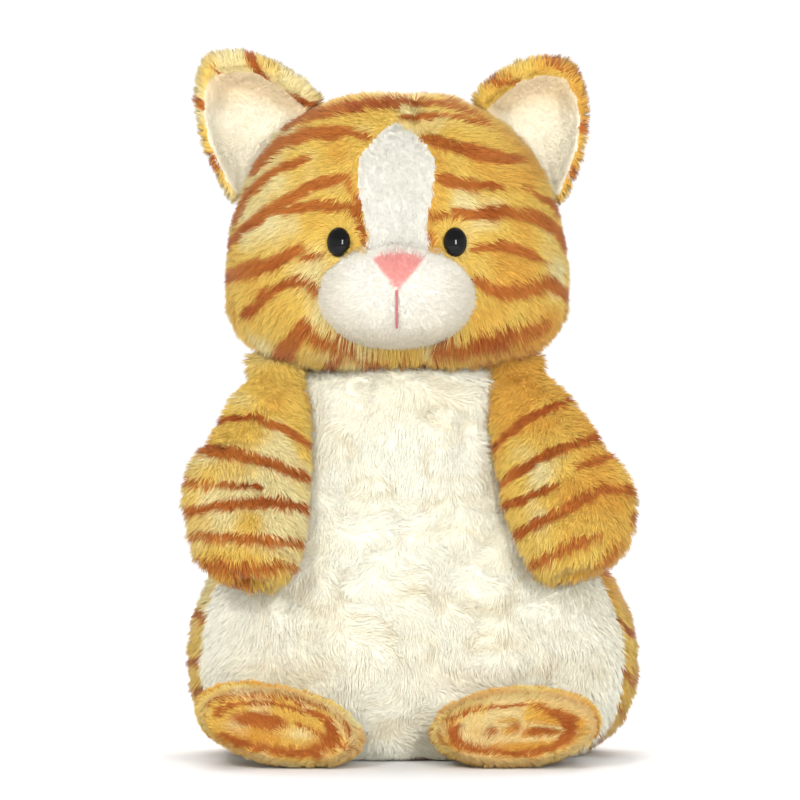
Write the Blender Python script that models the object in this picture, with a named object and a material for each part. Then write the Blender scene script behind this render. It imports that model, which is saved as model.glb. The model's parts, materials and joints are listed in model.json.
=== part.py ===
"""A sitting plush cat: cut fabric panels sewn round fibre filling.

Metres, +Z up. The cat faces -Y, and its own left side is +X. The origin is on the
floor under the middle of the body. Every panel is a sheet as thick as the backing
plus the pressed root of its pile, and lies just under the tips of the pile.
"""
import math

import bmesh
import bpy
from mathutils import Matrix, Vector

# Cloth, seams and thread.
FABRIC = 0.0022
SEAM = 0.0008
FILL_GAP = 0.0030
THREAD = 0.0006

# Head: widest at the jowls, flat below, domed above.
HEAD_CENTRE = Vector((-0.006, -0.004, 0.226))
HEAD_HALF_WIDTH = 0.0825
HEAD_HALF_DEPTH = 0.060
HEAD_RISE = 0.101
HEAD_DROP = 0.0315
HEAD_CROWN_POWER = 2.4
HEAD_CHIN_POWER = 2.6
HEAD_ROUNDNESS = 2.3

# Face: a blaze that runs down into a domed muzzle.
BLAZE_WIDTHS = ((0.260, 0.0165), (0.278, 0.0170), (0.293, 0.0185), (0.306, 0.0140), (0.314, 0.0))
MUZZLE_HEIGHT = 0.2275
MUZZLE_HALF_WIDTH = 0.0375
MUZZLE_HALF_HEIGHT = 0.0255
MUZZLE_POWER = 2.2
MUZZLE_DOME = 0.011
BLAZE_FOOT = 0.2515
NARROWEST = 0.0015
EYE_SPREAD = 0.0280
EYE_HEIGHT = 0.2545
EYE_RADIUS = 0.006
EYE_TALL = 1.25
SHANK_RADIUS = 0.0018
SHANK_HOLE = 0.0026
SHANK_LENGTH = 0.010
WASHER_RADIUS = 0.0075
WASHER_THICK = 0.0016

# Ears: a base chord on the side of the crown, and a rounded corner for a tip.
EAR_INNER_BASE = Vector((0.0375, 0.000, 0.3245))
EAR_OUTER_BASE = Vector((0.0795, 0.000, 0.2740))
EAR_TIPS = {"right": Vector((0.0940, -0.004, 0.3430)), "left": Vector((0.0875, -0.004, 0.3395))}
EAR_POWER = 1.7
EAR_CUP = 0.009
EAR_LINING = 0.0020
EAR_FLEX_GAP = 0.0020
EAR_WRAP = 0.0068

# Body: a pear with a flat base.
BODY_TOP = 0.190
SHOULDER_HEIGHT = 0.150
SHOULDER_POWER = 4.0
CHEST_HALF_WIDTH = 0.050
CHEST_HALF_DEPTH = 0.045
CHEST_HEIGHT = 0.174
HIP_HALF_WIDTH = 0.110
HIP_HALF_DEPTH = 0.064
HIP_HEIGHT = 0.052
HIP_POWER = 3.0
HIP_SHIFT = 0.008
CHEST_LEAN = -0.004
HIP_LEAN = 0.002
BODY_ROUNDNESS = 2.3
NECK_HEIGHT = 0.1923
BODY_FOOT = 0.0010
HIP_TUCK = 0.87
BELLY_LOW = math.radians(69)
BELLY_HIGH = math.radians(80)

# Arms hang forward of the hips.
SHOULDERS = {"right": Vector((-0.0625, -0.019, 0.191)),
             "left": Vector((0.0490, -0.019, 0.191))}
ARM_LENGTH = 0.114
ARM_HALF_WIDTH = 0.0280
ARM_HALF_THICK = 0.0165
ARM_TOP_SHARE = 0.31
ARM_WIDEST = 0.64
ARM_BULGE = 0.011
ARM_PAW_POWER = 2.7
ARM_PITCH = math.radians(25)
KNOT_RADIUS = 0.0030
KNOT_LIFT = 0.0036
ARM_SPLAYS = {"right": math.radians(7), "left": math.radians(17)}

# Feet: short stubs whose soles face forward.
FOOT_CENTRES = {"right": (-0.0632, 0.0198, math.radians(9)),
                "left": (0.0516, 0.0190, math.radians(-3))}
FOOT_HALF_WIDTH = 0.0410
FOOT_HALF_HEIGHT = 0.0180
FOOT_FRONT = -0.092
FOOT_ROOT_GAP = 0.004
FOOT_SHRINK = 0.86
FOOT_HINGE_DEPTH = -0.050
SOLE_DOME = 0.0016

# Tail: sewn on low at the back, curling up.
TAIL_PATH = ((0.0, 0.0765, 0.034), (0.0, 0.0860, 0.033), (0.0, 0.0975, 0.039),
             (0.0, 0.1050, 0.053), (0.0, 0.1075, 0.071), (0.0, 0.1060, 0.089), (0.0, 0.1010, 0.104))
TAIL_RADIUS = 0.0105
TAIL_TAPER = 0.12
TAIL_GAP = 0.0045

LABEL_SIZE = (0.018, 0.026, 0.0008)
LABEL_HEIGHT = 0.0085

BAG_TOP = 0.0185
BAG_BOTTOM = 0.0040

COLOURS = {
    "tiger_plush": (0.86, 0.56, 0.20, 1.0),
    "cream_plush": (0.94, 0.91, 0.80, 1.0),
    "muzzle_plush": (0.93, 0.91, 0.87, 1.0),
    "ear_lining": (0.92, 0.85, 0.75, 1.0),
    "eye_plastic": (0.01, 0.01, 0.01, 1.0),
    "washer_plastic": (0.85, 0.85, 0.82, 1.0),
    "mouth_thread": (0.75, 0.33, 0.33, 1.0),
    "sewing_thread": (0.80, 0.60, 0.35, 1.0),
    "fibre_fill": (0.92, 0.92, 0.92, 1.0),
    "bag_cloth": (0.78, 0.76, 0.70, 1.0),
    "label_satin": (0.90, 0.90, 0.88, 1.0),
}
ROUGHNESS = {"eye_plastic": 0.06, "washer_plastic": 0.45, "label_satin": 0.5}


def clear_scene():
    for obj in list(bpy.data.objects):
        bpy.data.objects.remove(obj, do_unlink=True)


def material(slot):
    """The one Principled material of a slot."""
    found = bpy.data.materials.get(slot)
    if found:
        return found
    made = bpy.data.materials.new(slot)
    made.use_nodes = True
    shader = made.node_tree.nodes["Principled BSDF"]
    shader.inputs["Base Color"].default_value = COLOURS[slot]
    shader.inputs["Roughness"].default_value = ROUGHNESS.get(slot, 0.9)
    shader.inputs["Metallic"].default_value = 0.0
    return made


def empty(name, location, rotation=None, parent=None):
    """A parent on a joint's axis."""
    made = bpy.data.objects.new(name, None)
    bpy.context.collection.objects.link(made)
    made.parent = parent
    made.location = location
    if rotation:
        made.rotation_euler = rotation
    return made


def place_under(obj, parent, local):
    """Parents an object whose points are in world places, or in the parent's own."""
    bpy.context.collection.objects.link(obj)
    obj.parent = parent
    if parent and not local:
        obj.matrix_parent_inverse = Matrix.Translation(-parent.location)
    return obj


def mesh_object(name, bm, slot, parent=None, local=False):
    mesh = bpy.data.meshes.new(name)
    bm.to_mesh(mesh)
    bm.free()
    mesh.shade_smooth()
    mesh.set_sharp_from_angle(angle=math.radians(50))
    obj = bpy.data.objects.new(name, mesh)
    obj.data.materials.append(material(slot))
    return place_under(obj, parent, local)


def skin_rows(bm, rows, ring):
    """Quads between rows of points; a ring closes each row on itself."""
    grid = [[bm.verts.new(point) for point in row] for row in rows]
    columns = len(rows[0]) if ring else len(rows[0]) - 1
    for low, high in zip(grid, grid[1:]):
        for i in range(columns):
            j = (i + 1) % len(low)
            bm.faces.new((low[i], low[j], high[j], high[i]))
    return grid


def cover(name, rows_of, slot, parent=None, ring=False, local=False, thickness=FABRIC):
    """One cut of fabric: the sheet at the surface, the same sheet below it, and its edges."""
    bm = bmesh.new()
    skin_rows(bm, rows_of(0.0), ring)
    rims = [edge for edge in bm.edges if edge.is_boundary]
    sizes = len(bm.verts)
    skin_rows(bm, rows_of(thickness), ring)
    bm.verts.ensure_lookup_table()
    bm.verts.index_update()
    for edge in rims:
        a, b = edge.verts[0].index, edge.verts[1].index
        bm.faces.new((edge.verts[0], edge.verts[1], bm.verts[b + sizes], bm.verts[a + sizes]))
    bmesh.ops.recalc_face_normals(bm, faces=bm.faces)
    return mesh_object(name, bm, slot, parent, local)


def filling(name, rows, slot="fibre_fill", parent=None, local=False):
    """A closed form through rings of points."""
    bm = bmesh.new()
    grid = skin_rows(bm, rows, True)
    bm.faces.new(grid[0])
    bm.faces.new(grid[-1])
    bmesh.ops.recalc_face_normals(bm, faces=bm.faces)
    return mesh_object(name, bm, slot, parent, local)


def thread(name, points, slot, parent=None, closed=False, local=False):
    """A round cord through points, capped unless it closes on itself."""
    curve = bpy.data.curves.new(name, "CURVE")
    curve.dimensions = "3D"
    spline = curve.splines.new("POLY")
    spline.points.add(len(points) - 1)
    for knot, point in zip(spline.points, points):
        knot.co = (*point, 1.0)
    spline.use_cyclic_u = closed
    curve.bevel_depth = THREAD
    curve.bevel_resolution = 0 if closed else 1
    curve.use_fill_caps = not closed
    curve.materials.append(material(slot))
    return place_under(bpy.data.objects.new(name, curve), parent, local)


def cut(target, cutter):
    """Boolean difference by a hidden cutter."""
    cutter.hide_render = True
    cutter.display_type = "WIRE"
    boolean = target.modifiers.new("cut_" + cutter.name, "BOOLEAN")
    boolean.operation = "DIFFERENCE"
    boolean.solver = "EXACT"
    boolean.object = cutter


def dome(share, power):
    """How wide a rounded form still is at this share of its height."""
    return max(0.0, 1.0 - abs(share) ** power) ** (1.0 / power)


def ease(value):
    value = min(1.0, max(0.0, value))
    return value * value * (3.0 - 2.0 * value)


def spread(start, stop, count):
    return [start + (stop - start) * i / (count - 1) for i in range(count)]


def around(angle, half_width, half_depth, roundness):
    """A point of a rounded section, at an angle from the front towards +X."""
    s = math.sin(angle)
    c = math.cos(angle)
    x = math.copysign(abs(s) ** (2.0 / roundness), s) * half_width
    y = -math.copysign(abs(c) ** (2.0 / roundness), c) * half_depth
    return x, y


def angle_at(reach, half_width, roundness):
    """The angle from the front at which a section is this far out."""
    share = min(1.0, max(0.0, reach / half_width))
    return math.asin(share ** (roundness / 2.0))


def table(pairs, value):
    """Straight lines between (place, size) pairs; zero outside them."""
    if value < pairs[0][0] or value > pairs[-1][0]:
        return 0.0
    for (low, a), (high, b) in zip(pairs, pairs[1:]):
        if value <= high:
            return a + (b - a) * (value - low) / (high - low)
    return 0.0


# ---------------------------------------------------------------- head

def head_share(height):
    """The head's width and depth at a height, as a share of its widest."""
    above = height - HEAD_CENTRE.z
    if above > 0:
        return dome(above / HEAD_RISE, HEAD_CROWN_POWER)
    return dome(above / HEAD_DROP, HEAD_CHIN_POWER)


def head_point(angle, height, inset=0.0):
    """A point of the head's surface, or of one that lies inside it."""
    share = head_share(height)
    x, y = around(angle, (HEAD_HALF_WIDTH - inset) * share, (HEAD_HALF_DEPTH - inset) * share,
                  HEAD_ROUNDNESS)
    above = height - HEAD_CENTRE.z
    reach = HEAD_RISE if above > 0 else HEAD_DROP
    return HEAD_CENTRE + Vector((x, y, above * (reach - inset) / reach))


def muzzle_width(height):
    return MUZZLE_HALF_WIDTH * dome((height - MUZZLE_HEIGHT) / MUZZLE_HALF_HEIGHT, MUZZLE_POWER)


def front_width(height):
    """Half the width of the pale cut-out between the two face panels."""
    blaze = table(BLAZE_WIDTHS, height)
    if height < BLAZE_WIDTHS[0][0]:
        blaze = BLAZE_WIDTHS[0][1] if height >= BLAZE_FOOT else 0.0
    muzzle = muzzle_width(height) if height < BLAZE_FOOT + SEAM else 0.0
    return max(blaze, muzzle)


def front_angle(height, clearance):
    """Where a face panel begins, going out from the middle of the face."""
    width = front_width(height)
    reach = max(width, NARROWEST) + clearance if width > 0 else SEAM / 2
    return angle_at(reach, HEAD_HALF_WIDTH * head_share(height), HEAD_ROUNDNESS)


def muzzle_forward(x, height):
    """How far the muzzle's dome stands in front of the head."""
    across = abs(x) / MUZZLE_HALF_WIDTH
    up = abs(height - MUZZLE_HEIGHT) / MUZZLE_HALF_HEIGHT
    rest = 1.0 - min(1.0, (across ** MUZZLE_POWER + up ** MUZZLE_POWER))
    return MUZZLE_DOME * rest ** 0.6


LOWER_HEIGHTS = [0.1960, 0.2023, 0.2065, 0.2125, 0.2210, 0.2300, 0.2390, 0.2460, BLAZE_FOOT]
UPPER_HEIGHTS = [0.2600, 0.2720, 0.2830, 0.2930, 0.3020, 0.3090, 0.3135]
CROWN_HEIGHTS = [0.3190, 0.3240, 0.3268]
HEAD_HEIGHTS = LOWER_HEIGHTS + UPPER_HEIGHTS + CROWN_HEIGHTS
EAR_SEAM = math.radians(97)


def mirrored(angles, sign):
    """Angles for the left side, or the same ones across the face for the right."""
    return angles if sign > 0 else [-angle for angle in reversed(angles)]


def face_rows(sign):
    def rows_of(inset):
        rows = []
        for height in HEAD_HEIGHTS:
            slack = SEAM / 2 / (HEAD_HALF_WIDTH * head_share(height))
            angles = mirrored(spread(front_angle(height, SEAM / 2), EAR_SEAM - slack, 8), sign)
            rows.append([head_point(angle, height, inset) for angle in angles])
        return rows
    return rows_of


def nape_rows(sign):
    def rows_of(inset):
        rows = []
        for height in HEAD_HEIGHTS:
            slack = SEAM / 2 / (HEAD_HALF_WIDTH * head_share(height))
            angles = mirrored(spread(EAR_SEAM + slack, math.pi - slack, 7), sign)
            rows.append([head_point(angle, height, inset) for angle in angles])
        return rows
    return rows_of


def blaze_rows(inset):
    rows = []
    for height in [BLAZE_FOOT + SEAM] + UPPER_HEIGHTS:
        reach = max(table(BLAZE_WIDTHS, max(height, BLAZE_WIDTHS[0][0])), NARROWEST) - SEAM / 2
        edge = angle_at(reach, HEAD_HALF_WIDTH * head_share(height), HEAD_ROUNDNESS)
        rows.append([head_point(angle, height, inset) for angle in spread(-edge, edge, 6)])
    return rows


def muzzle_rows(inset):
    rows = []
    for height in LOWER_HEIGHTS[1:]:
        reach = max(muzzle_width(height), NARROWEST) - SEAM / 2
        edge = angle_at(reach, HEAD_HALF_WIDTH * head_share(height), HEAD_ROUNDNESS)
        row = []
        for angle in spread(-edge, edge, 11):
            point = head_point(angle, height, inset)
            point.y -= muzzle_forward(point.x - HEAD_CENTRE.x, height)
            row.append(point)
        rows.append(row)
    return rows


def head_panels(head):
    for side, sign in (("right", -1), ("left", 1)):
        panel = cover(side + "_face_panel", face_rows(sign), "tiger_plush", head)
        cut(panel, shank_cutter(side, sign))
        cover(side + "_head_back_panel", nape_rows(sign), "tiger_plush", head)
    cover("forehead_blaze", blaze_rows, "cream_plush", head)
    cover("muzzle", muzzle_rows, "muzzle_plush", head)


def mouth_stitch(head):
    """A line of thread laid on the middle of the muzzle."""
    points = []
    for height in spread(0.2130, 0.2315, 7):
        point = head_point(0.0, height)
        point.y -= muzzle_forward(0.0, height) + THREAD + 0.0004
        points.append(point)
    thread("mouth_stitch", points, "mouth_thread", head)


def head_filling(head):
    inset = FABRIC + FILL_GAP
    rows = []
    for height in [0.1980] + LOWER_HEIGHTS[1:] + UPPER_HEIGHTS[:-1] + [0.3160, 0.3230]:
        row = []
        for i in range(26):
            angle = math.tau * i / 26
            point = head_point(angle, height, inset)
            if math.cos(angle) > 0:
                point.y -= 0.9 * muzzle_forward((point.x - HEAD_CENTRE.x) * 1.08, height)
            row.append(point)
        rows.append(row)
    stuffing = filling("head_stuffing", rows, "fibre_fill", head)
    for side, sign in (("right", -1), ("left", 1)):
        cut(stuffing, washer_cutter(side, sign))


def eye_place(sign):
    """The middle of an eye on the face, and the way it looks."""
    share = head_share(EYE_HEIGHT)
    angle = sign * angle_at(EYE_SPREAD, HEAD_HALF_WIDTH * share, HEAD_ROUNDNESS)
    across = head_point(angle + 0.03, EYE_HEIGHT) - head_point(angle - 0.03, EYE_HEIGHT)
    upward = head_point(angle, EYE_HEIGHT + 0.002) - head_point(angle, EYE_HEIGHT - 0.002)
    return head_point(angle, EYE_HEIGHT), across.cross(upward).normalized()


def turned(name, outline, steps, sign, slot, parent, start=0.0):
    """Spins (radius, distance) points round an eye's axis, looking out of the face."""
    place, look = eye_place(sign)
    bm = bmesh.new()
    line = [bm.verts.new((radius, 0.0, along)) for radius, along in outline]
    edges = [bm.edges.new(pair) for pair in zip(line, line[1:])]
    if start:
        edges.append(bm.edges.new((line[-1], line[0])))
    bmesh.ops.spin(bm, geom=line + edges, cent=(0, 0, 0), axis=(0, 0, 1), angle=math.tau,
                   steps=steps, use_merge=True, use_duplicate=False)
    bmesh.ops.remove_doubles(bm, verts=bm.verts, dist=0.00001)
    bmesh.ops.recalc_face_normals(bm, faces=bm.faces)
    if name.endswith("_eye"):
        bmesh.ops.scale(bm, verts=[v for v in bm.verts if v.co.z > -0.0001],
                        vec=(1.0, EYE_TALL, 1.0))
    turn = look.to_track_quat("Z", "Y").to_matrix().to_4x4()
    bmesh.ops.transform(bm, matrix=Matrix.Translation(place) @ turn, verts=bm.verts)
    return mesh_object(name, bm, slot, parent)


def shank_cutter(side, sign):
    outline = [(0.0, 0.003), (SHANK_HOLE, 0.003), (SHANK_HOLE, -0.008), (0.0, -0.008)]
    return turned(side + "_shank_cutter", outline, 12, sign, "fibre_fill", None)


def washer_cutter(side, sign):
    wide = WASHER_RADIUS + 0.001
    outline = [(0.0, 0.004), (wide, 0.004), (wide, -SHANK_LENGTH - 0.001),
               (0.0, -SHANK_LENGTH - 0.001)]
    return turned(side + "_washer_cutter", outline, 16, sign, "fibre_fill", None)


def eyes(head):
    """Domed safety eyes: a shank through the face and a washer behind it."""
    lift = 0.0009
    for side, sign in (("right", -1), ("left", 1)):
        bulge = [(EYE_RADIUS * math.cos(a), lift + 0.0012 + 0.0040 * math.sin(a))
                 for a in spread(math.pi / 2, 0.0, 5)]
        bulge[0] = (0.0, bulge[0][1])
        outline = bulge + [(EYE_RADIUS, lift), (SHANK_RADIUS, lift - 0.0001),
                           (SHANK_RADIUS, -SHANK_LENGTH), (0.0, -SHANK_LENGTH)]
        turned(side + "_eye", outline, 16, sign, "eye_plastic", head)
        back = -FABRIC - 0.0022
        ring = [(SHANK_HOLE, back), (WASHER_RADIUS, back), (WASHER_RADIUS, back - WASHER_THICK),
                (SHANK_HOLE, back - WASHER_THICK)]
        turned(side + "_eye_washer", ring, 12, sign, "washer_plastic", head, start=1.0)


# ---------------------------------------------------------------- ears

def ear_frame(side, sign):
    """Base corners and tip of one ear, mirrored about the head's middle."""
    corners = []
    for corner in (EAR_INNER_BASE, EAR_OUTER_BASE, EAR_TIPS[side]):
        corners.append(Vector((HEAD_CENTRE.x + corner.x * sign, corner.y, corner.z)))
    return corners


def ear_rows(side, sign, rise, trim, facing):
    """Rows of one sheet of an ear: rise is back (+) or forward (-) of the ear's middle."""
    inner, outer, tip = ear_frame(side, sign)
    middle = (inner + outer) / 2
    width = (outer - inner) / 2
    reach = tip - middle
    out = reach.normalized()

    def rows_of(inset):
        rows = []
        for step in (0.0, 0.16, 0.34, 0.53, 0.71, 0.87, 0.975):
            size = dome(step, EAR_POWER) * (1.0 - trim / width.length)
            row = []
            for across in spread(-1.0, 1.0, 8):
                point = middle + width * (across * size)
                point += out * ((reach.length - trim) * step)
                point += out * (EAR_FLEX_GAP + EAR_WRAP * (1.0 - across ** 2) * (1.0 - step) ** 2)
                cup = EAR_CUP * (0.6 * (1.0 - step) - (across * size) ** 2)
                point.y += rise - facing * inset + cup
                row.append(point)
            rows.append(row)
        return rows
    return rows_of


def ears():
    for side, sign in (("right", -1), ("left", 1)):
        inner, outer, _tip = ear_frame(side, sign)
        hinge = empty(side + "_ear_hinge", (inner + outer) / 2)
        cover(side + "_ear_back", ear_rows(side, sign, 0.0028, 0.0, 1), "tiger_plush", hinge)
        cover(side + "_ear_lining", ear_rows(side, sign, -0.0024, 0.0015, -1), "ear_lining",
              hinge, thickness=EAR_LINING)


# ---------------------------------------------------------------- body

def body_form(height):
    """Half width, half depth and middle of the body at a height."""
    flare = ease((CHEST_HEIGHT - height) / (CHEST_HEIGHT - HIP_HEIGHT))
    width = CHEST_HALF_WIDTH + (HIP_HALF_WIDTH - CHEST_HALF_WIDTH) * flare
    depth = CHEST_HALF_DEPTH + (HIP_HALF_DEPTH - CHEST_HALF_DEPTH) * flare
    share = 1.0
    if height > SHOULDER_HEIGHT:
        share = dome((height - SHOULDER_HEIGHT) / (BODY_TOP - SHOULDER_HEIGHT), SHOULDER_POWER)
    if height < HIP_HEIGHT:
        share = dome((HIP_HEIGHT - height) / HIP_HEIGHT * HIP_TUCK, HIP_POWER)
    middle = Vector((CHEST_LEAN + (HIP_LEAN - CHEST_LEAN) * flare, HIP_SHIFT * flare, 0.0))
    return width, depth, middle, share


def body_point(angle, height, inset=0.0):
    """A point of the body's surface, or of one that lies inside it."""
    width, depth, middle, share = body_form(height)
    x, y = around(angle, (width - inset) * share, (depth - inset) * share, BODY_ROUNDNESS)
    level = height
    if height > SHOULDER_HEIGHT:
        level -= inset * (height - SHOULDER_HEIGHT) / (BODY_TOP - SHOULDER_HEIGHT)
    if height < HIP_HEIGHT:
        level += inset * (HIP_HEIGHT - height) / HIP_HEIGHT
    return middle + Vector((x, y, level))


BODY_HEIGHTS = [BODY_FOOT, 0.005, 0.013, 0.026, 0.040, 0.055, 0.070, 0.085, 0.100, 0.116, 0.134,
                0.152, 0.169, 0.181, 0.1870, 0.1892]


def belly_angle(height):
    """Where the belly panel meets the back panels, from the front."""
    return BELLY_LOW + (BELLY_HIGH - BELLY_LOW) * ease((height - 0.06) / 0.08)


def body_sheet(height, low, high, count, inset):
    width, depth, _middle, share = body_form(height)
    slack = SEAM / 2 / (min(width, depth) * share)
    return [body_point(angle, height, inset) for angle in spread(low + slack, high - slack, count)]


def belly_rows(inset):
    rows = []
    for height in BODY_HEIGHTS:
        seam = belly_angle(height)
        rows.append(body_sheet(height, -seam, seam, 12, inset))
    return rows


def back_rows(sign):
    def rows_of(inset):
        rows = []
        for height in BODY_HEIGHTS:
            seam = belly_angle(height)
            low, high = (seam, math.pi) if sign > 0 else (-math.pi, -seam)
            rows.append(body_sheet(height, low, high, 9, inset))
        return rows
    return rows_of


def body_panels():
    cover("belly_panel", belly_rows, "cream_plush")
    cover("left_back_panel", back_rows(1), "tiger_plush")
    cover("right_back_panel", back_rows(-1), "tiger_plush")


def base_panel():
    """The flat oval that the cat sits on."""
    width, depth, middle, share = body_form(0.0)
    bm = bmesh.new()
    ring = []
    for i in range(28):
        x, y = around(math.tau * i / 28, width * share, depth * share, BODY_ROUNDNESS)
        ring.append(bm.verts.new(middle + Vector((x, y, 0.0))))
    face = bm.faces.new(ring)
    raised = bmesh.ops.extrude_face_region(bm, geom=[face])
    moved = [v for v in raised["geom"] if isinstance(v, bmesh.types.BMVert)]
    bmesh.ops.translate(bm, vec=(0, 0, FABRIC), verts=moved)
    bmesh.ops.recalc_face_normals(bm, faces=bm.faces)
    mesh_object("base_panel", bm, "tiger_plush")


def body_filling():
    inset = FABRIC + FILL_GAP
    rows = []
    for height in [0.0165] + BODY_HEIGHTS[3:-1]:
        rows.append([body_point(math.tau * i / 26, height, inset) for i in range(26)])
    filling("body_stuffing", rows)


def bean_bag():
    """A weight bag of pellets, lying on the base under the filling."""
    rows = []
    for height in spread(BAG_BOTTOM, BAG_TOP, 4):
        middle_height = (BAG_TOP + BAG_BOTTOM) / 2
        bulge = 0.93 + 0.07 * dome((height - middle_height) / (BAG_TOP - BAG_BOTTOM) * 1.6, 2.0)
        row = []
        for i in range(24):
            x, y = around(math.tau * i / 24, 0.072 * bulge, 0.040 * bulge, BODY_ROUNDNESS)
            row.append(Vector((HIP_LEAN + x, HIP_SHIFT + y, height)))
        rows.append(row)
    filling("bean_bag", rows, "bag_cloth")


def closing_thread():
    """Hand stitches that close the middle back seam after stuffing."""
    points = []
    for i, height in enumerate(spread(0.100, 0.138, 11)):
        point = body_point(math.pi, height)
        point.x += 0.0016 * (-1) ** i
        point.y += THREAD + 0.0006
        points.append(point)
    thread("back_closing_thread", points, "sewing_thread")


def care_label():
    """A blank folded satin label, sewn in low at the back."""
    bm = bmesh.new()
    bmesh.ops.create_cube(bm, size=1.0)
    bmesh.ops.scale(bm, vec=LABEL_SIZE, verts=bm.verts)
    bmesh.ops.rotate(bm, matrix=Matrix.Rotation(math.radians(-8), 3, "X"), verts=bm.verts)
    edge = body_point(math.radians(165), LABEL_HEIGHT)
    bmesh.ops.translate(bm, vec=edge + Vector((0.0, LABEL_SIZE[1] / 2 + 0.002, 0.0)), verts=bm.verts)
    mesh_object("care_label", bm, "label_satin")


def neck_seam(neck):
    """The ring of hand stitches between head and body."""
    points = []
    for i in range(20):
        x, y = around(math.tau * i / 20, 0.029, 0.020, 2.0)
        points.append(Vector((HEAD_CENTRE.x / 2 + x, HEAD_CENTRE.y / 2 + y, NECK_HEIGHT)))
    thread("neck_seam_thread", points, "sewing_thread", neck, closed=True)


# ---------------------------------------------------------------- arms

def arm_share(step):
    """Half width of an arm along its length, as a share of its widest."""
    if step < ARM_WIDEST:
        rise = dome((ARM_WIDEST - step) / ARM_WIDEST, 1.45)
        return ARM_TOP_SHARE + (1.0 - ARM_TOP_SHARE) * rise
    return dome((step - ARM_WIDEST) / (1.0 - ARM_WIDEST), ARM_PAW_POWER)


def arm_point(angle, step, sign, inset=0.0):
    """A point in the arm's own frame, which hangs down from its shoulder."""
    share = arm_share(step)
    width = max(0.0003, ARM_HALF_WIDTH * share - inset)
    thick = max(0.0003, ARM_HALF_THICK * (0.30 + 0.70 * share) * min(1.0, share * 2.2) - inset)
    x, y = around(angle, width, thick, 2.1)
    outward = sign * ARM_BULGE * (share - ARM_TOP_SHARE)
    return Vector((x + outward, y, (inset - ARM_LENGTH) * step - 0.001))


ARM_STEPS = [0.0, 0.10, 0.22, 0.34, 0.47, 0.60, 0.72, 0.82, 0.90, 0.955, 0.985]


def arm_rows(sign, middle):
    """Half of an arm, front (0) or back (pi), between its two side seams."""
    def rows_of(inset):
        rows = []
        for step in ARM_STEPS:
            slack = min(0.5, SEAM / 2 / (ARM_HALF_THICK * arm_share(step)))
            quarter = math.pi / 2 - slack
            angles = spread(middle - quarter, middle + quarter, 7)
            rows.append([arm_point(angle, step, sign, inset) for angle in angles])
        return rows
    return rows_of


def arms():
    for side, sign in (("right", -1), ("left", 1)):
        stance = (-ARM_PITCH, -sign * ARM_SPLAYS[side], 0.0)
        shoulder = empty(side + "_shoulder", SHOULDERS[side])
        socket = empty(side + "_arm_socket", (0, 0, 0), stance, shoulder)
        ring = []
        for i in range(12):
            x, y = around(math.tau * i / 12, KNOT_RADIUS, KNOT_RADIUS, 2.0)
            ring.append(Vector((x, y, KNOT_LIFT)))
        thread(side + "_shoulder_thread", ring, "sewing_thread", socket, closed=True, local=True)
        cover(side + "_arm_front", arm_rows(sign, 0.0), "tiger_plush", socket, local=True)
        cover(side + "_arm_back", arm_rows(sign, math.pi), "tiger_plush", socket, local=True)
        inset = FABRIC + FILL_GAP
        fill = []
        for step in spread(0.04, 0.93, 10):
            fill.append([arm_point(math.tau * i / 14, step, sign, inset) for i in range(14)])
        filling(side + "_arm_stuffing", fill, "fibre_fill", socket, local=True)


# ---------------------------------------------------------------- feet

def foot_point(side, angle, depth, inset=0.0):
    """A point of a foot: depth 0 is at the body, 1 at the sole's edge."""
    x_mid, z_mid, tilt = FOOT_CENTRES[side]
    share = FOOT_SHRINK + (1.0 - FOOT_SHRINK) * math.sin(math.pi * min(1.0, depth * 1.04) ** 0.9)
    across = (FOOT_HALF_WIDTH * share - inset) * math.cos(angle)
    up = (FOOT_HALF_HEIGHT * share - inset) * math.sin(angle)
    x = x_mid + across * math.cos(tilt) - up * math.sin(tilt) * 0.4
    z = z_mid - across * math.sin(tilt) + up
    z = max(z, 0.0006 + inset * 0.9)
    root = body_front(x, z) - FOOT_ROOT_GAP - inset
    front = FOOT_FRONT + 0.0006 + inset
    return Vector((x, root + (front - root) * depth, z))


def body_front(x, height):
    """The body's front surface at a place seen from the front."""
    width, depth, middle, share = body_form(max(height, 0.002))
    out = min(0.999, abs(x - middle.x) / (width * share))
    return middle.y - depth * share * (1.0 - out ** BODY_ROUNDNESS) ** (1.0 / BODY_ROUNDNESS)


def foot_upper_rows(side):
    def rows_of(inset):
        rows = []
        for depth in spread(0.0, 1.0, 5):
            rows.append([foot_point(side, math.tau * i / 20, depth, inset) for i in range(20)])
        return rows
    return rows_of


def foot_sole_rows(side):
    """Rings of a sole from its rim to its middle, a little domed."""
    def rows_of(inset):
        x_mid, z_mid, _tilt = FOOT_CENTRES[side]
        rows = []
        for share in (1.0, 0.75, 0.42, 0.06):
            row = []
            for i in range(20):
                rim = foot_point(side, math.tau * i / 20, 1.0, FABRIC + SEAM)
                middle = Vector((x_mid, rim.y, z_mid))
                point = middle + (rim - middle) * share
                point.y += inset - SOLE_DOME * (1.0 - share * share)
                row.append(point)
            rows.append(row)
        return rows
    return rows_of


def feet():
    inset = FABRIC + FILL_GAP
    for side in ("right", "left"):
        x_mid, z_mid, _tilt = FOOT_CENTRES[side]
        top = z_mid + FOOT_HALF_HEIGHT * FOOT_SHRINK
        hinge = empty(side + "_foot_hinge", (x_mid, FOOT_HINGE_DEPTH, top))
        cover(side + "_foot_upper", foot_upper_rows(side), "tiger_plush", hinge, ring=True)
        cover(side + "_foot_sole", foot_sole_rows(side), "tiger_plush", hinge, ring=True)
        fill = []
        for depth in spread(0.06, 0.90, 4):
            fill.append([foot_point(side, math.tau * i / 20, depth, inset) for i in range(20)])
        filling(side + "_foot_stuffing", fill, "fibre_fill", hinge)


# ---------------------------------------------------------------- tail

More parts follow.
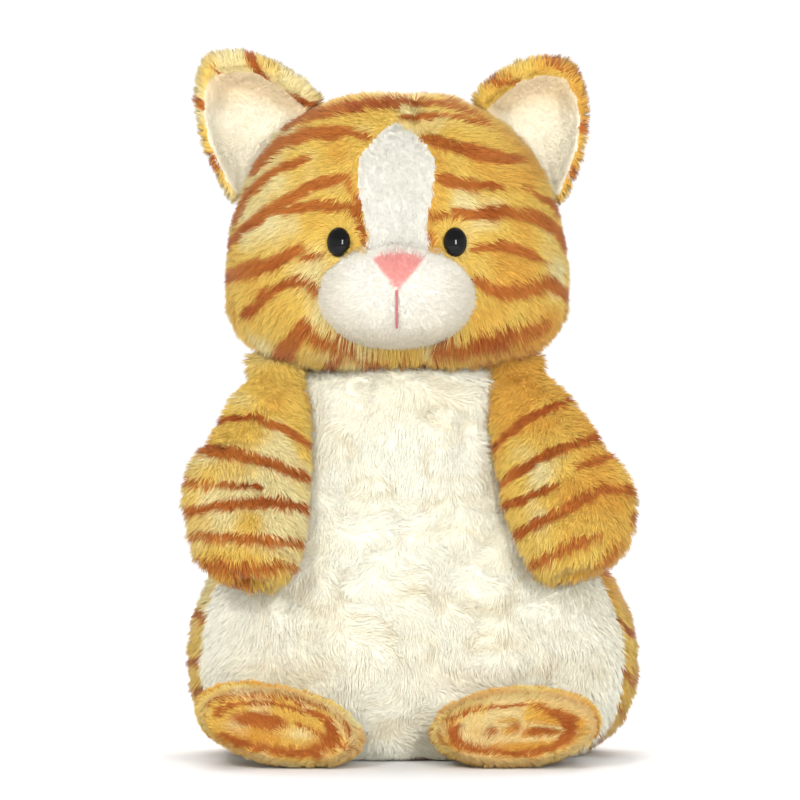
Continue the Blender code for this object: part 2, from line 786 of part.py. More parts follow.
def tail_rows(inset):
    """Rings along the tail's path, and a rounded tip."""
    path = [Vector(place) for place in TAIL_PATH]
    last = len(path) - 1
    side = Vector((1.0, 0.0, 0.0))
    rows = []
    for i, place in enumerate(path):
        ahead = (path[min(last, i + 1)] - path[max(0, i - 1)]).normalized()
        up = side.cross(ahead)
        radius = TAIL_RADIUS * (1.0 - TAIL_TAPER * i / last) - inset
        row = []
        for j in range(12):
            angle = math.tau * j / 12
            row.append(place + side * (radius * math.cos(angle)) + up * (radius * math.sin(angle)))
        rows.append(row)
    for reach, share in ((0.55, 0.82), (0.90, 0.42), (0.99, 0.10)):
        tip = path[last] + ahead * ((TAIL_RADIUS - inset) * reach)
        rows.append([tip + (point - path[last]) * share for point in rows[last]])
    return rows


def tail():
    """A curved tube of fabric over a core of filling."""
    hinge = empty("tail_hinge", (0.0, TAIL_PATH[0][1] - TAIL_GAP, TAIL_PATH[0][2]))
    cover("tail_cover", tail_rows, "tiger_plush", hinge, ring=True)
    filling("tail_stuffing", tail_rows(FABRIC + FILL_GAP), "fibre_fill", hinge)


def build():
    clear_scene()
    neck = empty("neck_turn", (HEAD_CENTRE.x / 2, HEAD_CENTRE.y / 2, NECK_HEIGHT))
    head = empty("head_nod", (HEAD_CENTRE.x / 2, HEAD_CENTRE.y / 2, NECK_HEIGHT))
    head_panels(head)
    mouth_stitch(head)
    head_filling(head)
    eyes(head)
    neck_seam(neck)
    ears()
    body_panels()
    base_panel()
    body_filling()
    bean_bag()
    closing_thread()
    care_label()
    arms()
    feet()
    tail()


build()
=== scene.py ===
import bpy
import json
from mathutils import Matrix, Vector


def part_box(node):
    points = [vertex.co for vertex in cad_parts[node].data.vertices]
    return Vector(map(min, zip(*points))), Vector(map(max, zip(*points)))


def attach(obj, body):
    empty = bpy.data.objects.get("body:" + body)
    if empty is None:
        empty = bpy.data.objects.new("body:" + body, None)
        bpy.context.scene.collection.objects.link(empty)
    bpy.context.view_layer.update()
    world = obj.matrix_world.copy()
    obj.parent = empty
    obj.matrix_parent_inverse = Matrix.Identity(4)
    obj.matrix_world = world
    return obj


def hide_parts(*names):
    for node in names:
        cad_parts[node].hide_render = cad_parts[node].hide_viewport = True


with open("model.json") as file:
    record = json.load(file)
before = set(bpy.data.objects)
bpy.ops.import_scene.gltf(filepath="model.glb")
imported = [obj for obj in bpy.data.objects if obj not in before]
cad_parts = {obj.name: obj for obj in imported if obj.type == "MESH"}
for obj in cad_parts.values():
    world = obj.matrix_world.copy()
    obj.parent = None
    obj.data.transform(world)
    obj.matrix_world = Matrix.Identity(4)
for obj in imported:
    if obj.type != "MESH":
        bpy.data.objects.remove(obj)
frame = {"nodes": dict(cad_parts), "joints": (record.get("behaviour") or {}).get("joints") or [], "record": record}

"""The looks of a sitting plush cat: stuffed skins, and a pile of separate tufts on each panel."""
import json
import math

import bmesh
import bpy
import numpy as np
from mathutils import Vector
from mathutils.bvhtree import BVHTree
from mathutils.kdtree import KDTree

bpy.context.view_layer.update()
NODES = frame["nodes"]
VOXEL = 0.0036
CORE_GROWTH = 0.0046
FLOOR_CLEARANCE = 0.0004
SIDES = ("right", "left")


# ------------ number helpers

CELLS = 20
LATTICE = np.random.default_rng(5).random((4, CELLS, CELLS, CELLS))


def drift(points, size, layer=0):
    """Smooth seeded noise from 0 to 1; size is the spacing of its bumps in metres."""
    scaled = points / size + 100.0
    low = np.floor(scaled).astype(int)
    part = scaled - low
    part = part * part * (3.0 - 2.0 * part)
    total = np.zeros(len(points))
    for corner in np.ndindex(2, 2, 2):
        near = np.where(corner, part, 1 - part)
        total += near[:, 0] * near[:, 1] * near[:, 2] * LATTICE[layer][tuple(((low + corner) % CELLS).T)]
    return total


def step(low, high, values):
    share = np.clip((values - low) / (high - low), 0.0, 1.0)
    return share * share * (3.0 - 2.0 * share)


def unit(vectors):
    return vectors / np.maximum(np.linalg.norm(vectors, axis=1, keepdims=True), 1e-9)


def linear(red, green, blue):
    """A colour given in 0 to 255 display values, as scene linear."""
    values = np.array((red, green, blue)) / 255.0
    return np.where(values <= 0.04045, values / 12.92, ((values + 0.055) / 1.055) ** 2.4)


def mix(a, b, share):
    """From colour a to colour b, at each point by its share."""
    return a + (b - a) * share[:, None]


# ------------ colours of the pile

PALE = linear(250, 230, 168)
GOLD = linear(242, 202, 98)
AMBER = linear(228, 164, 66)
RUST = linear(198, 116, 50)
DEEP_RUST = linear(178, 92, 36)
CREAM = linear(255, 251, 232)
CREAM_SHADE = linear(253, 246, 220)
# Painted shade for the creases of the belly's folds.
CREAM_PAINTED_CREASE_SHADE = linear(228, 214, 178)
MUZZLE_WHITE = linear(230, 226, 214)
# Painted shade for the muzzle's lower edge and sides.
MUZZLE_PAINTED_SHADE = linear(211, 202, 180)
BLAZE_WHITE = linear(242, 239, 227)
NOSE_PINK = linear(226, 149, 142)
LINING = linear(244, 236, 212)
# Painted shade for the hollow under the ear lining's upper fold.
LINING_FOLD_PAINTED_SHADE = linear(240, 218, 178)

# Pinches of the left sole from its middle: across, up, half width and half height.
DIMPLES = ((-0.0125, -0.0005, 0.0034, 0.0028), (-0.0015, 0.0022, 0.0036, 0.003),
           (0.013, -0.001, 0.0105, 0.0017))
DIMPLE_DEPTH = 0.0052

# Streaks of the coat in millimetres across and up, with a half width in millimetres.
FACE_STREAKS = (
    (1.1, (-44, 325), (-24, 329), (0, 331), (11, 328)), (2.3, (-60, 311), (-46, 317), (-22, 321), (-4, 322)),
    (2.8, (-75, 291), (-61, 303), (-46, 308), (-30, 309), (-20, 307)),
    (1.8, (-86, 264), (-76, 281), (-62, 291), (-48, 296)),
    (2.6, (-87, 255), (-71, 268), (-57, 276), (-43, 284), (-29, 288)),
    (2.0, (-64, 270), (-46, 273), (-28, 273), (-25, 266)),
    (1.4, (-29, 286), (-24, 275), (-25, 262), (-22, 254)),
    (3.4, (-89, 239), (-76, 243), (-63, 247), (-51, 254)), (1.6, (-50, 250), (-42, 249)),
    (2.3, (-79, 221), (-68, 231), (-56, 237), (-47, 236), (-42, 229)),
    (4.2, (-67, 196), (-60, 203), (-53, 211), (-50, 216)), (2.6, (-50, 216), (-42, 209), (-31, 207)),
    (2.6, (-46, 189), (-39, 195), (-33, 202)), (1.4, (-36, 208), (-20, 201), (-10, 199)),
    (1.4, (-14, 200), (-24, 193)), (1.4, (-3, 200), (9, 192)), (1.6, (6, 199), (28, 193)),
    (1.3, (25, 196), (44, 199), (60, 205)), (3.4, (14, 204), (30, 207), (46, 210), (66, 217)),
    (1.2, (-4, 323), (14, 322), (28, 318), (38, 309)), (1.2, (-2, 316), (22, 316), (36, 311)),
    (2.8, (7, 306), (21, 302), (37, 297), (52, 296)), (2.2, (14, 286), (28, 284), (43, 283)),
    (1.4, (55, 282), (66, 277), (77, 265)),
    (3.0, (11, 268), (27, 268), (46, 271), (60, 269), (72, 261), (79, 249)),
    (2.0, (30, 252), (45, 254), (64, 247)), (3.3, (31, 238), (44, 231), (55, 233), (68, 237), (80, 228)),
    (1.6, (8, 262), (12, 257)),
)
ARM_STREAKS = {"right": (
    (1.6, (-92, 168), (-76, 170), (-62, 164), (-44, 154)),
    (2.3, (-108, 154), (-84, 152), (-66, 147), (-42, 138)), (1.4, (-112, 140), (-92, 138), (-72, 136)),
    (2.3, (-114, 125), (-86, 128), (-61, 129), (-42, 124)), (1.8, (-104, 114), (-78, 112), (-42, 109)),
    (2.2, (-114, 102), (-82, 98), (-56, 99), (-42, 103)), (1.8, (-94, 88), (-75, 84), (-56, 90)),
), "left": (
    (1.6, (40, 154), (57, 168), (77, 178)), (2.3, (42, 136), (66, 151), (94, 162)),
    (1.4, (80, 146), (102, 152)), (1.6, (44, 126), (72, 137)),
    (2.4, (46, 111), (75, 125), (94, 136), (116, 134)), (1.8, (50, 95), (74, 107), (93, 114)),
    (2.6, (64, 80), (86, 91), (99, 104), (118, 121)),
)}
ARM_WARMTH = {"right": 0.12, "left": 0.0}


def side_of(node):
    return node[:node.index("_")]


def streak_share(across, up, streaks, points):
    """How much of the streak colour each point takes."""
    found = np.zeros(len(points))
    ragged = (drift(points, 0.0035, 1) - 0.5) * 1.8 + (drift(points, 0.009, 2) - 0.5) * 1.2
    for half, *knots in streaks:
        lengths = [math.dist(a, b) for a, b in zip(knots, knots[1:])]
        whole = sum(lengths)
        done = 0.0
        nearest = np.full(len(points), 1e9)
        place = np.zeros(len(points))
        for (ax, az), (bx, bz), length in zip(knots, knots[1:], lengths):
            along = ((across - ax) * (bx - ax) + (up - az) * (bz - az)) / length ** 2
            along = np.clip(along, 0.0, 1.0)
            gap = np.hypot(across - ax - along * (bx - ax), up - az - along * (bz - az))
            closer = gap < nearest
            nearest = np.where(closer, gap, nearest)
            place = np.where(closer, (done + along * length) / whole, place)
            done += length
        width = half * (0.45 + 0.75 * np.sin(np.pi * np.clip(place * 0.86 + 0.1, 0.0, 1.0)) ** 0.7)
        found = np.maximum(found, 1.0 - step(width * 0.75, width * 1.25 + 0.35, nearest + ragged))
    return found


def band_share(height, points, spacing, layer=0):
    """Wandering cross bands, for the panels that hang at the sides and back."""
    bend = (drift(points, 0.055, layer) - 0.5) * spacing * 1.7 + (drift(points, 0.018, 3) - 0.5) * 0.006
    wave = np.abs(np.sin(np.pi * (height + bend) / spacing))
    width = 0.2 + 0.22 * drift(points, 0.045, (layer + 1) % 4)
    width = width * step(0.18, 0.42, drift(points, 0.034, (layer + 2) % 4))
    return (1.0 - step(width * 0.75, width * 1.2 + 0.03, wave)) * step(0.02, 0.1, width)


def tabby(points, share, warmth=0.0):
    """Golden coat with rust streaks where share is 1."""
    warm = drift(points, 0.03, 0) * 0.7 + drift(points, 0.011, 2) * 0.5
    warm = warm + 0.24 * step(-0.02, 0.07, points[:, 0]) - 0.1 + warmth
    base = mix(PALE, GOLD, step(0.28, 0.62, warm))
    base = mix(base, AMBER, 0.75 * step(0.6, 0.98, warm))
    rust = mix(RUST, DEEP_RUST, step(0.45, 0.8, drift(points, 0.02, 1)))
    return mix(base, rust, share)


def coat(node, points):
    """The pile's colour at each point of a panel."""
    across = points[:, 0] * 1000.0
    up = points[:, 2] * 1000.0
    if node.endswith("ear_lining"):
        share_across, share_along = ear_shares(ear_corners(side_of(node)), points)
        edge = np.abs((share_across - 0.08) / 0.8) ** 1.9 + np.maximum(share_along / 0.84, 0.0) ** 1.9
        fold = step(-0.15, 0.3, (share_along - 0.34) * 0.8 - share_across * 0.75)
        # Painted shade: a darker peach cream in the hollow under the lining's upper fold.
        return mix(LINING, LINING_FOLD_PAINTED_SHADE, 0.9 * fold * step(0.15, 0.75, edge))
    if node == "forehead_blaze":
        return np.broadcast_to(BLAZE_WHITE, points.shape)
    if node == "belly_panel":
        shade = step(0.35, 0.8, drift(points, 0.022, 1))
        base = mix(CREAM, CREAM_SHADE, 0.55 * shade)
        # Painted shade: a darker tan cream along the fold creases, where the folds' own shade falls.
        return mix(base, CREAM_PAINTED_CREASE_SHADE, 0.6 * belly_fold(points))
    if node == "muzzle":
        return muzzle_colour(points)
    if node.endswith("face_panel"):
        return tabby(points, streak_share(across, up, FACE_STREAKS, points))
    if "_arm_front" in node:
        streaks = ARM_STREAKS[side_of(node)]
        return tabby(points, streak_share(across, up, streaks, points), ARM_WARMTH[side_of(node)])
    if node.endswith("foot_sole"):
        return sole_colour(node, points)
    if node.endswith("foot_upper"):
        return foot_upper_colour(points)
    if node == "tail_cover":
        return tabby(points, band_share(points[:, 2] * 0.9 + points[:, 1], points, 0.022, 2))
    if "ear_back" in node:
        return tabby(points, band_share(points[:, 2] + across * 0.0004, points, 0.024, 3))
    return tabby(points, band_share(points[:, 2], points, 0.019, 0), 0.08)


def belly_fold(points):
    """1 along the wandering cross folds of the belly, 0 away from them; it sets how deep the folds sink and where
    shade is painted into them.
    """
    squashed = points * np.array((0.42, 0.42, 1.0))
    crease = np.abs(drift(squashed, 0.0085, 1) - 0.5) * 2.0
    share = 0.35 + 0.65 * step(0.3, 0.6, drift(points, 0.02, 3))
    return np.exp(-(crease / 0.17) ** 2) * share * step(-0.015, -0.045, points[:, 1])


NOSE_DROP, NOSE_OFFSET, NOSE_HEIGHT, NOSE_BOW, NOSE_HALF_WIDTH = 0.0022, 0.0006, 0.0172, 0.003, 0.0142


def muzzle_colour(points):
    """Short white pile with a soft-edged pink nose, and painted shade that darkens it towards its lower edge and
    sides.
    """
    low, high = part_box("muzzle")
    top = high.z - NOSE_DROP
    away = np.abs(points[:, 0] - (low.x + high.x) / 2 - NOSE_OFFSET)
    down = (top - points[:, 2]) / NOSE_HEIGHT
    bow = NOSE_BOW * (away / 0.0125) ** 2.4
    half = NOSE_HALF_WIDTH * np.clip(1.0 - down, 0.0, 1.0) ** 0.88
    inside = step(-0.0014, 0.001, half - away) * step(-0.001, 0.0012, top - bow - points[:, 2])
    inside = inside * step(1.06, 0.92, down)
    speckle = (drift(points, 0.0012, 1) - 0.5) * 0.25
    # Painted shade: the white turns to a darker cream away from the upper middle, most towards the bottom and the
    # sides.
    under = np.hypot(away / 0.052, (points[:, 2] - 0.232) / 0.032) - 0.25 * step(0.23, 0.25, points[:, 2])
    base = mix(MUZZLE_WHITE, MUZZLE_PAINTED_SHADE, step(0.2, 1.0, under))
    return mix(base, NOSE_PINK, np.clip(inside + speckle * inside, 0, 1))


SOLE_TILT = {"right": 0.352, "left": -0.11}


def foot_shares(node, points):
    """Shares across and up a sole, straightened for its tilt."""
    low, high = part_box(node)
    centre = (low + high) / 2
    across = (points[:, 0] - centre.x) / ((high.x - low.x) / 2)
    up = (points[:, 2] - centre.z) / ((high.z - low.z) / 2) + SOLE_TILT[side_of(node)] * across
    return across, up


def golden(points, share):
    """The feet's coat: golden all over, paler in drifts, with rust where share is 1."""
    base = mix(GOLD, PALE, 0.9 * step(0.48, 0.7, drift(points, 0.01, 2)))
    base = mix(base, AMBER, 0.8 * step(0.35, 0.65, drift(points, 0.014, 0)))
    return mix(base, mix(RUST, DEEP_RUST, drift(points, 0.01, 1)), share)


def bump_at(values, middle, width):
    return np.exp(-((values - middle) / width) ** 2)


def sole_colour(node, points):
    """Rust bands that curve with the sole's rim, round a golden middle."""
    across, up = foot_shares(node, points)
    wobble = (drift(points, 0.014, 1) - 0.5) * 0.26 + (drift(points, 0.003, 2) - 0.5) * 0.14
    ring = np.sqrt(across ** 2 + up ** 2) + wobble
    if node.startswith("right"):
        patch = np.hypot((across + 0.22) / 0.52, (up - 0.16) / 0.4) + wobble
        share = np.maximum.reduce((
            bump_at(ring, 0.88, 0.085) * step(-0.55, -0.05, up + 0.4 * across),
            bump_at(ring, 1.12, 0.055) * step(0.05, 0.4, up + 0.2 * across),
            0.72 * step(1.1, 0.55, patch),
            bump_at(ring, 0.88, 0.13) * step(0.0, -0.4, up - 0.3 * across) * 0.9,
            bump_at(up + 0.9 * across + wobble, 0.62, 0.09) * step(0.15, 0.35, across) * 0.9))
        pale = bump_at(np.hypot(across - 0.3, (up + 0.12) * 1.3) + wobble, 0.0, 0.3)
    else:
        patch = np.hypot((across - 0.36) / 0.34, (up + 0.1) / 0.26) + wobble
        share = np.maximum.reduce((
            bump_at(ring, 0.9, 0.14) * step(0.25, -0.15, up + 0.25 * across),
            bump_at(ring, 0.88, 0.1) * step(0.1, 0.5, across),
            0.9 * bump_at(ring, 1.00, 0.06) * step(0.2, 0.5, up),
            0.6 * step(1.1, 0.5, patch)))
        middle = middle_of(node)
        pale = np.zeros(len(points))
        for off_x, off_z, wide, tall in DIMPLES:
            away_x, away_z = points[:, 0] - middle.x - off_x, points[:, 2] - middle.z - off_z
            gap = np.hypot(away_x / wide, away_z / tall) + wobble * 1.5
            share = np.maximum(share, 0.55 * step(1.5, 0.3, gap + 0.35 * away_z / tall))
            pale = np.maximum(pale, 0.7 * bump_at(gap + 0.5 * away_x / wide, 1.9, 0.6))
    rim = step(1.02, 1.16, ring)
    none = np.zeros(len(points))
    colour = mix(golden(points, none), AMBER, none + 0.35)
    colour = mix(colour, PALE, np.clip(np.maximum(pale, 0.5 * rim), 0.0, 1.0))
    rust = mix(RUST, DEEP_RUST, drift(points, 0.01, 1))
    return 0.95 * mix(colour, rust, np.clip(share * 1.9 - 0.25, 0.0, 1.0))


def foot_upper_colour(points):
    """A rust line just behind the sole's edge, then cross bands further back."""
    line = bump_at(points[:, 1] + (drift(points, 0.014, 1) - 0.5) * 0.006, -0.0805, 0.0034)
    line = line * (0.35 + 0.65 * step(0.02, 0.032, points[:, 2]))
    bands = band_share(points[:, 1] * 0.9 + points[:, 2] * 0.5, points, 0.019, 1)
    bands = bands * step(-0.08, -0.07, points[:, 1])
    # Paler near the sole and 12 % brighter overall: partly the rim's own paler edge, partly painted light that
    # lifts the rim where it lies in shade.
    near_sole = step(-0.066, -0.078, points[:, 1])
    colour = mix(golden(points, np.maximum(0.8 * line, bands)), PALE, 0.35 * near_sole)
    return np.clip(colour * 1.12, 0.0, 1.0)


# ------------ materials

def new_material(name, settings):
    """A material with values set on its shader, and that shader."""
    made = bpy.data.materials.new(name)
    made.use_nodes = True
    shader = made.node_tree.nodes["Principled BSDF"]
    for label, value in settings.items():
        shader.inputs[label].default_value = value
    return made, shader


def add_node(tree, kind, settings=()):
    node = tree.nodes.new("ShaderNode" + kind)
    for label, value in dict(settings).items():
        node.inputs[label].default_value = value
    return node


def join(tree, *links):
    """Links sockets: from a node's output to another's input."""
    for source, out, target, socket in links:
        tree.links.new(source.outputs[out], target.inputs[socket])


def attribute_node(tree, name):
    node = add_node(tree, "Attribute")
    node.attribute_name = name
    return node


def pelt_material(name, roughness, sheen, grain, root):
    """Pile: the coat's colour with painted shade that darkens it towards the roots and on the skin under the
    tufts, with a fine grain.
    """
    made, shader = new_material(name, {"Roughness": roughness, "Sheen Weight": sheen, "Sheen Roughness": 0.45,
                                       "Specular IOR Level": 0.22})
    tree = made.node_tree
    colour = attribute_node(tree, "pelt")
    depth = attribute_node(tree, "rise")
    speck = add_node(tree, "TexNoise", {"Scale": grain, "Detail": 2.0})
    place = add_node(tree, "TexCoord")
    tone = add_node(tree, "MapRange", {"From Min": 0.3, "From Max": 0.7, "To Min": 0.93, "To Max": 1.07})
    # Painted shade between the tufts: the colour is scaled from root where rise is 0 up to full at the tips.
    roots = add_node(tree, "MapRange", {"To Min": root, "To Max": 1.0})
    both = add_node(tree, "Math")
    both.operation = "MULTIPLY"
    scale = add_node(tree, "VectorMath")
    scale.operation = "SCALE"
    join(tree, (place, "Object", speck, "Vector"), (speck, "Fac", tone, "Value"),
         (depth, "Fac", roots, "Value"), (tone, "Result", both, 0), (roots, "Result", both, 1),
         (colour, "Color", scale, 0),
         (both, "Value", scale, "Scale"), (scale, "Vector", shader, "Base Color"))
    return made


def grain_material(name, light, dark, grain, roughness, stretch=(1.0, 1.0, 1.0), shine=0.5, depth=0.0):
    """A two-tone procedural surface for thread, fibre, cloth and moulded plastic."""
    made, shader = new_material(name, {"Roughness": roughness, "Specular IOR Level": shine})
    tree = made.node_tree
    place = add_node(tree, "TexCoord")
    mapping = add_node(tree, "Mapping", {"Scale": stretch})
    speck = add_node(tree, "TexNoise", {"Scale": grain, "Detail": 5.0})
    ramp = add_node(tree, "ValToRGB")
    for stop, position, tone in zip(ramp.color_ramp.elements, (0.35, 0.65), (dark, light)):
        stop.position = position
        stop.color = (*tone, 1.0)
    join(tree, (place, "Object", mapping, "Vector"), (mapping, "Vector", speck, "Vector"),
         (speck, "Fac", ramp, "Fac"), (ramp, "Color", shader, "Base Color"))
    if depth:
        bump = add_node(tree, "Bump", {"Strength": 0.5, "Distance": depth})
        join(tree, (speck, "Fac", bump, "Height"), (bump, "Normal", shader, "Normal"))
    return made


MATERIALS = {
    # The last number is how dark the painted shade at the roots makes each pile.
    "tiger_plush": pelt_material("tiger_pile", 0.8, 0.2, 900.0, 0.72),
    "cream_plush": pelt_material("cream_pile", 0.85, 0.15, 700.0, 0.96),
    "muzzle_plush": pelt_material("muzzle_pile", 0.9, 0.15, 1600.0, 0.94),
    "ear_lining": pelt_material("lining_velour", 0.9, 0.25, 2200.0, 0.92),
    "eye_plastic": grain_material("black_gloss", (0.003, 0.0025, 0.0025), (0.0015, 0.0015, 0.0015), 40.0,
                                  0.06, shine=0.24),
    "washer_plastic": grain_material("moulded_washer", (0.72, 0.71, 0.66), (0.6, 0.59, 0.54), 350.0, 0.45),
    "mouth_thread": grain_material("pink_floss", (0.52, 0.16, 0.16), (0.36, 0.09, 0.1), 900.0, 0.75,
                                   (1.0, 1.0, 3.0)),
    "sewing_thread": grain_material("tan_thread", (0.62, 0.38, 0.15), (0.42, 0.23, 0.08), 1500.0, 0.7),
    "fibre_fill": grain_material("polyester_fibre", (0.86, 0.86, 0.85), (0.7, 0.7, 0.7), 220.0, 0.95,
                                 (1.0, 0.3, 1.0), depth=0.002),
    "bag_cloth": grain_material("woven_bag", (0.6, 0.56, 0.46), (0.48, 0.44, 0.35), 1400.0, 0.9,
                                (1.0, 0.15, 1.0), depth=0.0004),
    "label_satin": grain_material("satin_ribbon", (0.86, 0.86, 0.83), (0.76, 0.76, 0.73), 1800.0, 0.35,
                                  (0.1, 1.0, 1.0)),
}


# ------------ mesh helpers

def surface(mesh):
    """Where each vertex is, and its normal."""
    found = []
    for what in ("co", "normal"):
        values = np.zeros(len(mesh.vertices) * 3)
        mesh.vertices.foreach_get(what, values)
        found.append(values.reshape(-1, 3))
    return found


def place_points(obj, points):
    obj.data.vertices.foreach_set("co", points.ravel())
    obj.data.update()


def middle_of(node):
    low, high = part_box(node)
    return (low + high) / 2


def evaluated_mesh(obj):
    graph = bpy.context.evaluated_depsgraph_get()
    return bpy.data.meshes.new_from_object(obj.evaluated_get(graph))


def with_modifier(obj, kind, **settings):
    """Applies one modifier."""
    modifier = obj.modifiers.new(kind.lower(), kind)
    for name, value in settings.items():
        setattr(modifier, name, value)
    mesh = evaluated_mesh(obj)
    obj.modifiers.clear()
    obj.data = mesh
    return obj


def link(obj):
    bpy.context.scene.collection.objects.link(obj)
    return obj


def object_from(bm, name):
    """A new object with a copy of a bmesh, which is then freed."""
    mesh = bpy.data.meshes.new(name)
    bm.to_mesh(mesh)
    bm.free()
    return link(bpy.data.objects.new(name, mesh))


def clean_bmesh(mesh):
    bm = bmesh.new()
    bm.from_mesh(mesh)
    bmesh.ops.remove_doubles(bm, verts=bm.verts, dist=0.00001)
    bmesh.ops.recalc_face_normals(bm, faces=bm.faces)
    bm.normal_update()
    return bm


def keep_outer(bm):
    """Drops every closed surface but the widest."""
    unseen = set(bm.verts)
    groups = []
    while unseen:
        stack = [unseen.pop()]
        group = list(stack)
        while stack:
            for edge in stack.pop().link_edges:
                for vert in edge.verts:
                    if vert in unseen:
                        unseen.remove(vert)
                        stack.append(vert)
                        group.append(vert)
        groups.append(group)
    groups.sort(key=lambda group: max(v.co.z for v in group) - min(v.co.z for v in group))
    for group in groups[:-1]:
        bmesh.ops.delete(bm, geom=group, context="VERTS")


def stuffed_skin(name, panels, fill, voxel=VOXEL, soften=5, lumps=()):
    """One closed skin over some panels, their filling and a few lumps (centre, radii)."""
    whole = bmesh.new()
    for node in panels:
        whole.from_mesh(NODES[node].data)
    for centre, radii in lumps:
        ball = bmesh.ops.create_icosphere(whole, subdivisions=3, radius=1.0)["verts"]
        bmesh.ops.scale(whole, vec=radii, verts=ball)
        bmesh.ops.translate(whole, vec=centre, verts=ball)
    core = clean_bmesh(NODES[fill].data)
    for vert in core.verts:
        vert.co += vert.normal * CORE_GROWTH
    swollen = bpy.data.meshes.new(name + "_core")
    core.to_mesh(swollen)
    core.free()
    whole.from_mesh(swollen)
    obj = object_from(whole, name)
    with_modifier(obj, "REMESH", mode="VOXEL", voxel_size=voxel, use_smooth_shade=True)
    bm = bmesh.new()
    bm.from_mesh(obj.data)
    keep_outer(bm)
    for _ in range(soften):
        bmesh.ops.smooth_vert(bm, verts=bm.verts, factor=0.5, use_axis_x=True, use_axis_y=True,
                              use_axis_z=True)
    bm.to_mesh(obj.data)
    bm.free()
    return obj


def near_seams(obj, panels, reach):
    """Vertices close to where two panels meet, with how firmly the seam holds each."""
    trees = [BVHTree.FromPolygons([v.co for v in NODES[n].data.vertices],
                                  [p.vertices for p in NODES[n].data.polygons]) for n in panels]
    held = {}
    for vert in obj.data.vertices:
        gaps = sorted(tree.find_nearest(vert.co)[3] for tree in trees)
        apart = gaps[1] - gaps[0]
        if apart < reach:
            held[vert.index] = 1.0 - apart / reach
    return held


CLOTH = {"quality": 4, "mass": 0.25, "use_pressure": True, "uniform_pressure_force": 4.0,
         "tension_stiffness": 12.0, "compression_stiffness": 8.0, "shear_stiffness": 6.0,
         "bending_stiffness": 0.6, "vertex_group_mass": "seams"}
CLOTH_FRAMES = 20
SEAM_REACH = 0.004


def inflate(obj, panels, cap):
    """Lets the filling's pressure swell a skin between its seams, and caps how far it moves."""
    rest = surface(obj.data)[0]
    group = obj.vertex_groups.new(name="seams")
    for index, weight in near_seams(obj, panels, SEAM_REACH).items():
        group.add([index], weight, "REPLACE")
    cloth = obj.modifiers.new("stuffed", "CLOTH")
    for label, value in CLOTH.items():
        setattr(cloth.settings, label, value)
    cloth.settings.effector_weights.gravity = 0.0
    cloth.collision_settings.use_collision = False
    scene = bpy.context.scene
    for number in range(1, CLOTH_FRAMES + 1):
        scene.frame_set(number)
    moved = surface(evaluated_mesh(obj))[0] - rest
    obj.modifiers.clear()
    scene.frame_set(1)
    far = np.linalg.norm(moved, axis=1, keepdims=True)
    moved *= np.minimum(1.0, cap / np.maximum(far, 1e-9))
    obj.vertex_groups.clear()
    place_points(obj, rest + moved)


def above_floor(obj):
    points = surface(obj.data)[0]
    points[:, 2] = np.maximum(points[:, 2], FLOOR_CLEARANCE)
    place_points(obj, points)


# ------------ pile

class Coat:
    """How a panel's tufts lie and catch light: lengths in metres, angles in degrees."""

    def __init__(self, length, width, density, lean, comb, **others):
        usual = dict(curl=0.25, clump=0.45, cluster=0.0032, spread=9.0, mottle=0.1, relief=1.15,
                     catch=(0.0, 0.0, 0.0), droop=0.0)
        vars(self).update(usual, length=length, width=width, density=density, lean=lean, comb=comb, **others)


def ways(points, x, y, z):
    """A direction at each point, from plain numbers or one number per point."""
    return np.stack([np.broadcast_to(part, len(points)) for part in (x, y, z)], axis=1)


def comb_down(points):
    return ways(points, 0.0, 0.0, -1.0)


def comb_face(points):
    """Away from the muzzle, then down."""
    side_way = points[:, 0] - HEAD_MIDDLE
    out = np.sign(side_way) * step(0.0, 0.06, np.abs(side_way))
    low = step(0.3, 0.24, points[:, 2])
    way = ways(points, out * 0.8, 0.15, -0.55 - 0.45 * low)
    for side in SIDES:
        away = points - np.array(middle_of(side + "_eye"))
        away[:, 1] = 0.0
        near = np.exp(-(np.linalg.norm(away, axis=1) / 0.013) ** 2)
        way = way + unit(away) * (2.2 * near)[:, None]
    return way


def comb_crown(points):
    """Back over the crown, then down the nape."""
    return ways(points, points[:, 0] * 3.0, 0.7, -0.7)


def comb_belly(points):
    """Down the belly, turned this way and that in loose curls."""
    turn = (drift(points, 0.013, 0) - 0.5) * 3.6 + (drift(points, 0.03, 2) - 0.5) * 1.5
    turn = turn * (0.25 + 0.75 * step(0.09, 0.07, np.abs(points[:, 0])))
    return ways(points, np.sin(turn), 0.0, -np.cos(turn))


def comb_out(points):
    """Outwards from the muzzle's middle."""
    out = points - np.array(middle_of("muzzle") + Vector((0.0, 0.0, 0.012)))
    out[:, 1] = 0.02
    return out


def comb_sole(points):
    out = (drift(points, 0.014, 1) - 0.5) * 2.0 + np.where(points[:, 0] < HEAD_MIDDLE, -0.9, 0.9)
    return ways(points, np.sin(out), 0.0, np.cos(out))


def comb_foot(points):
    return ways(points, 0.0, -0.5, -0.6)


def comb_tail(points):
    return ways(points, 0.0, 0.6 * step(0.06, 0.035, points[:, 2]), 1.0)


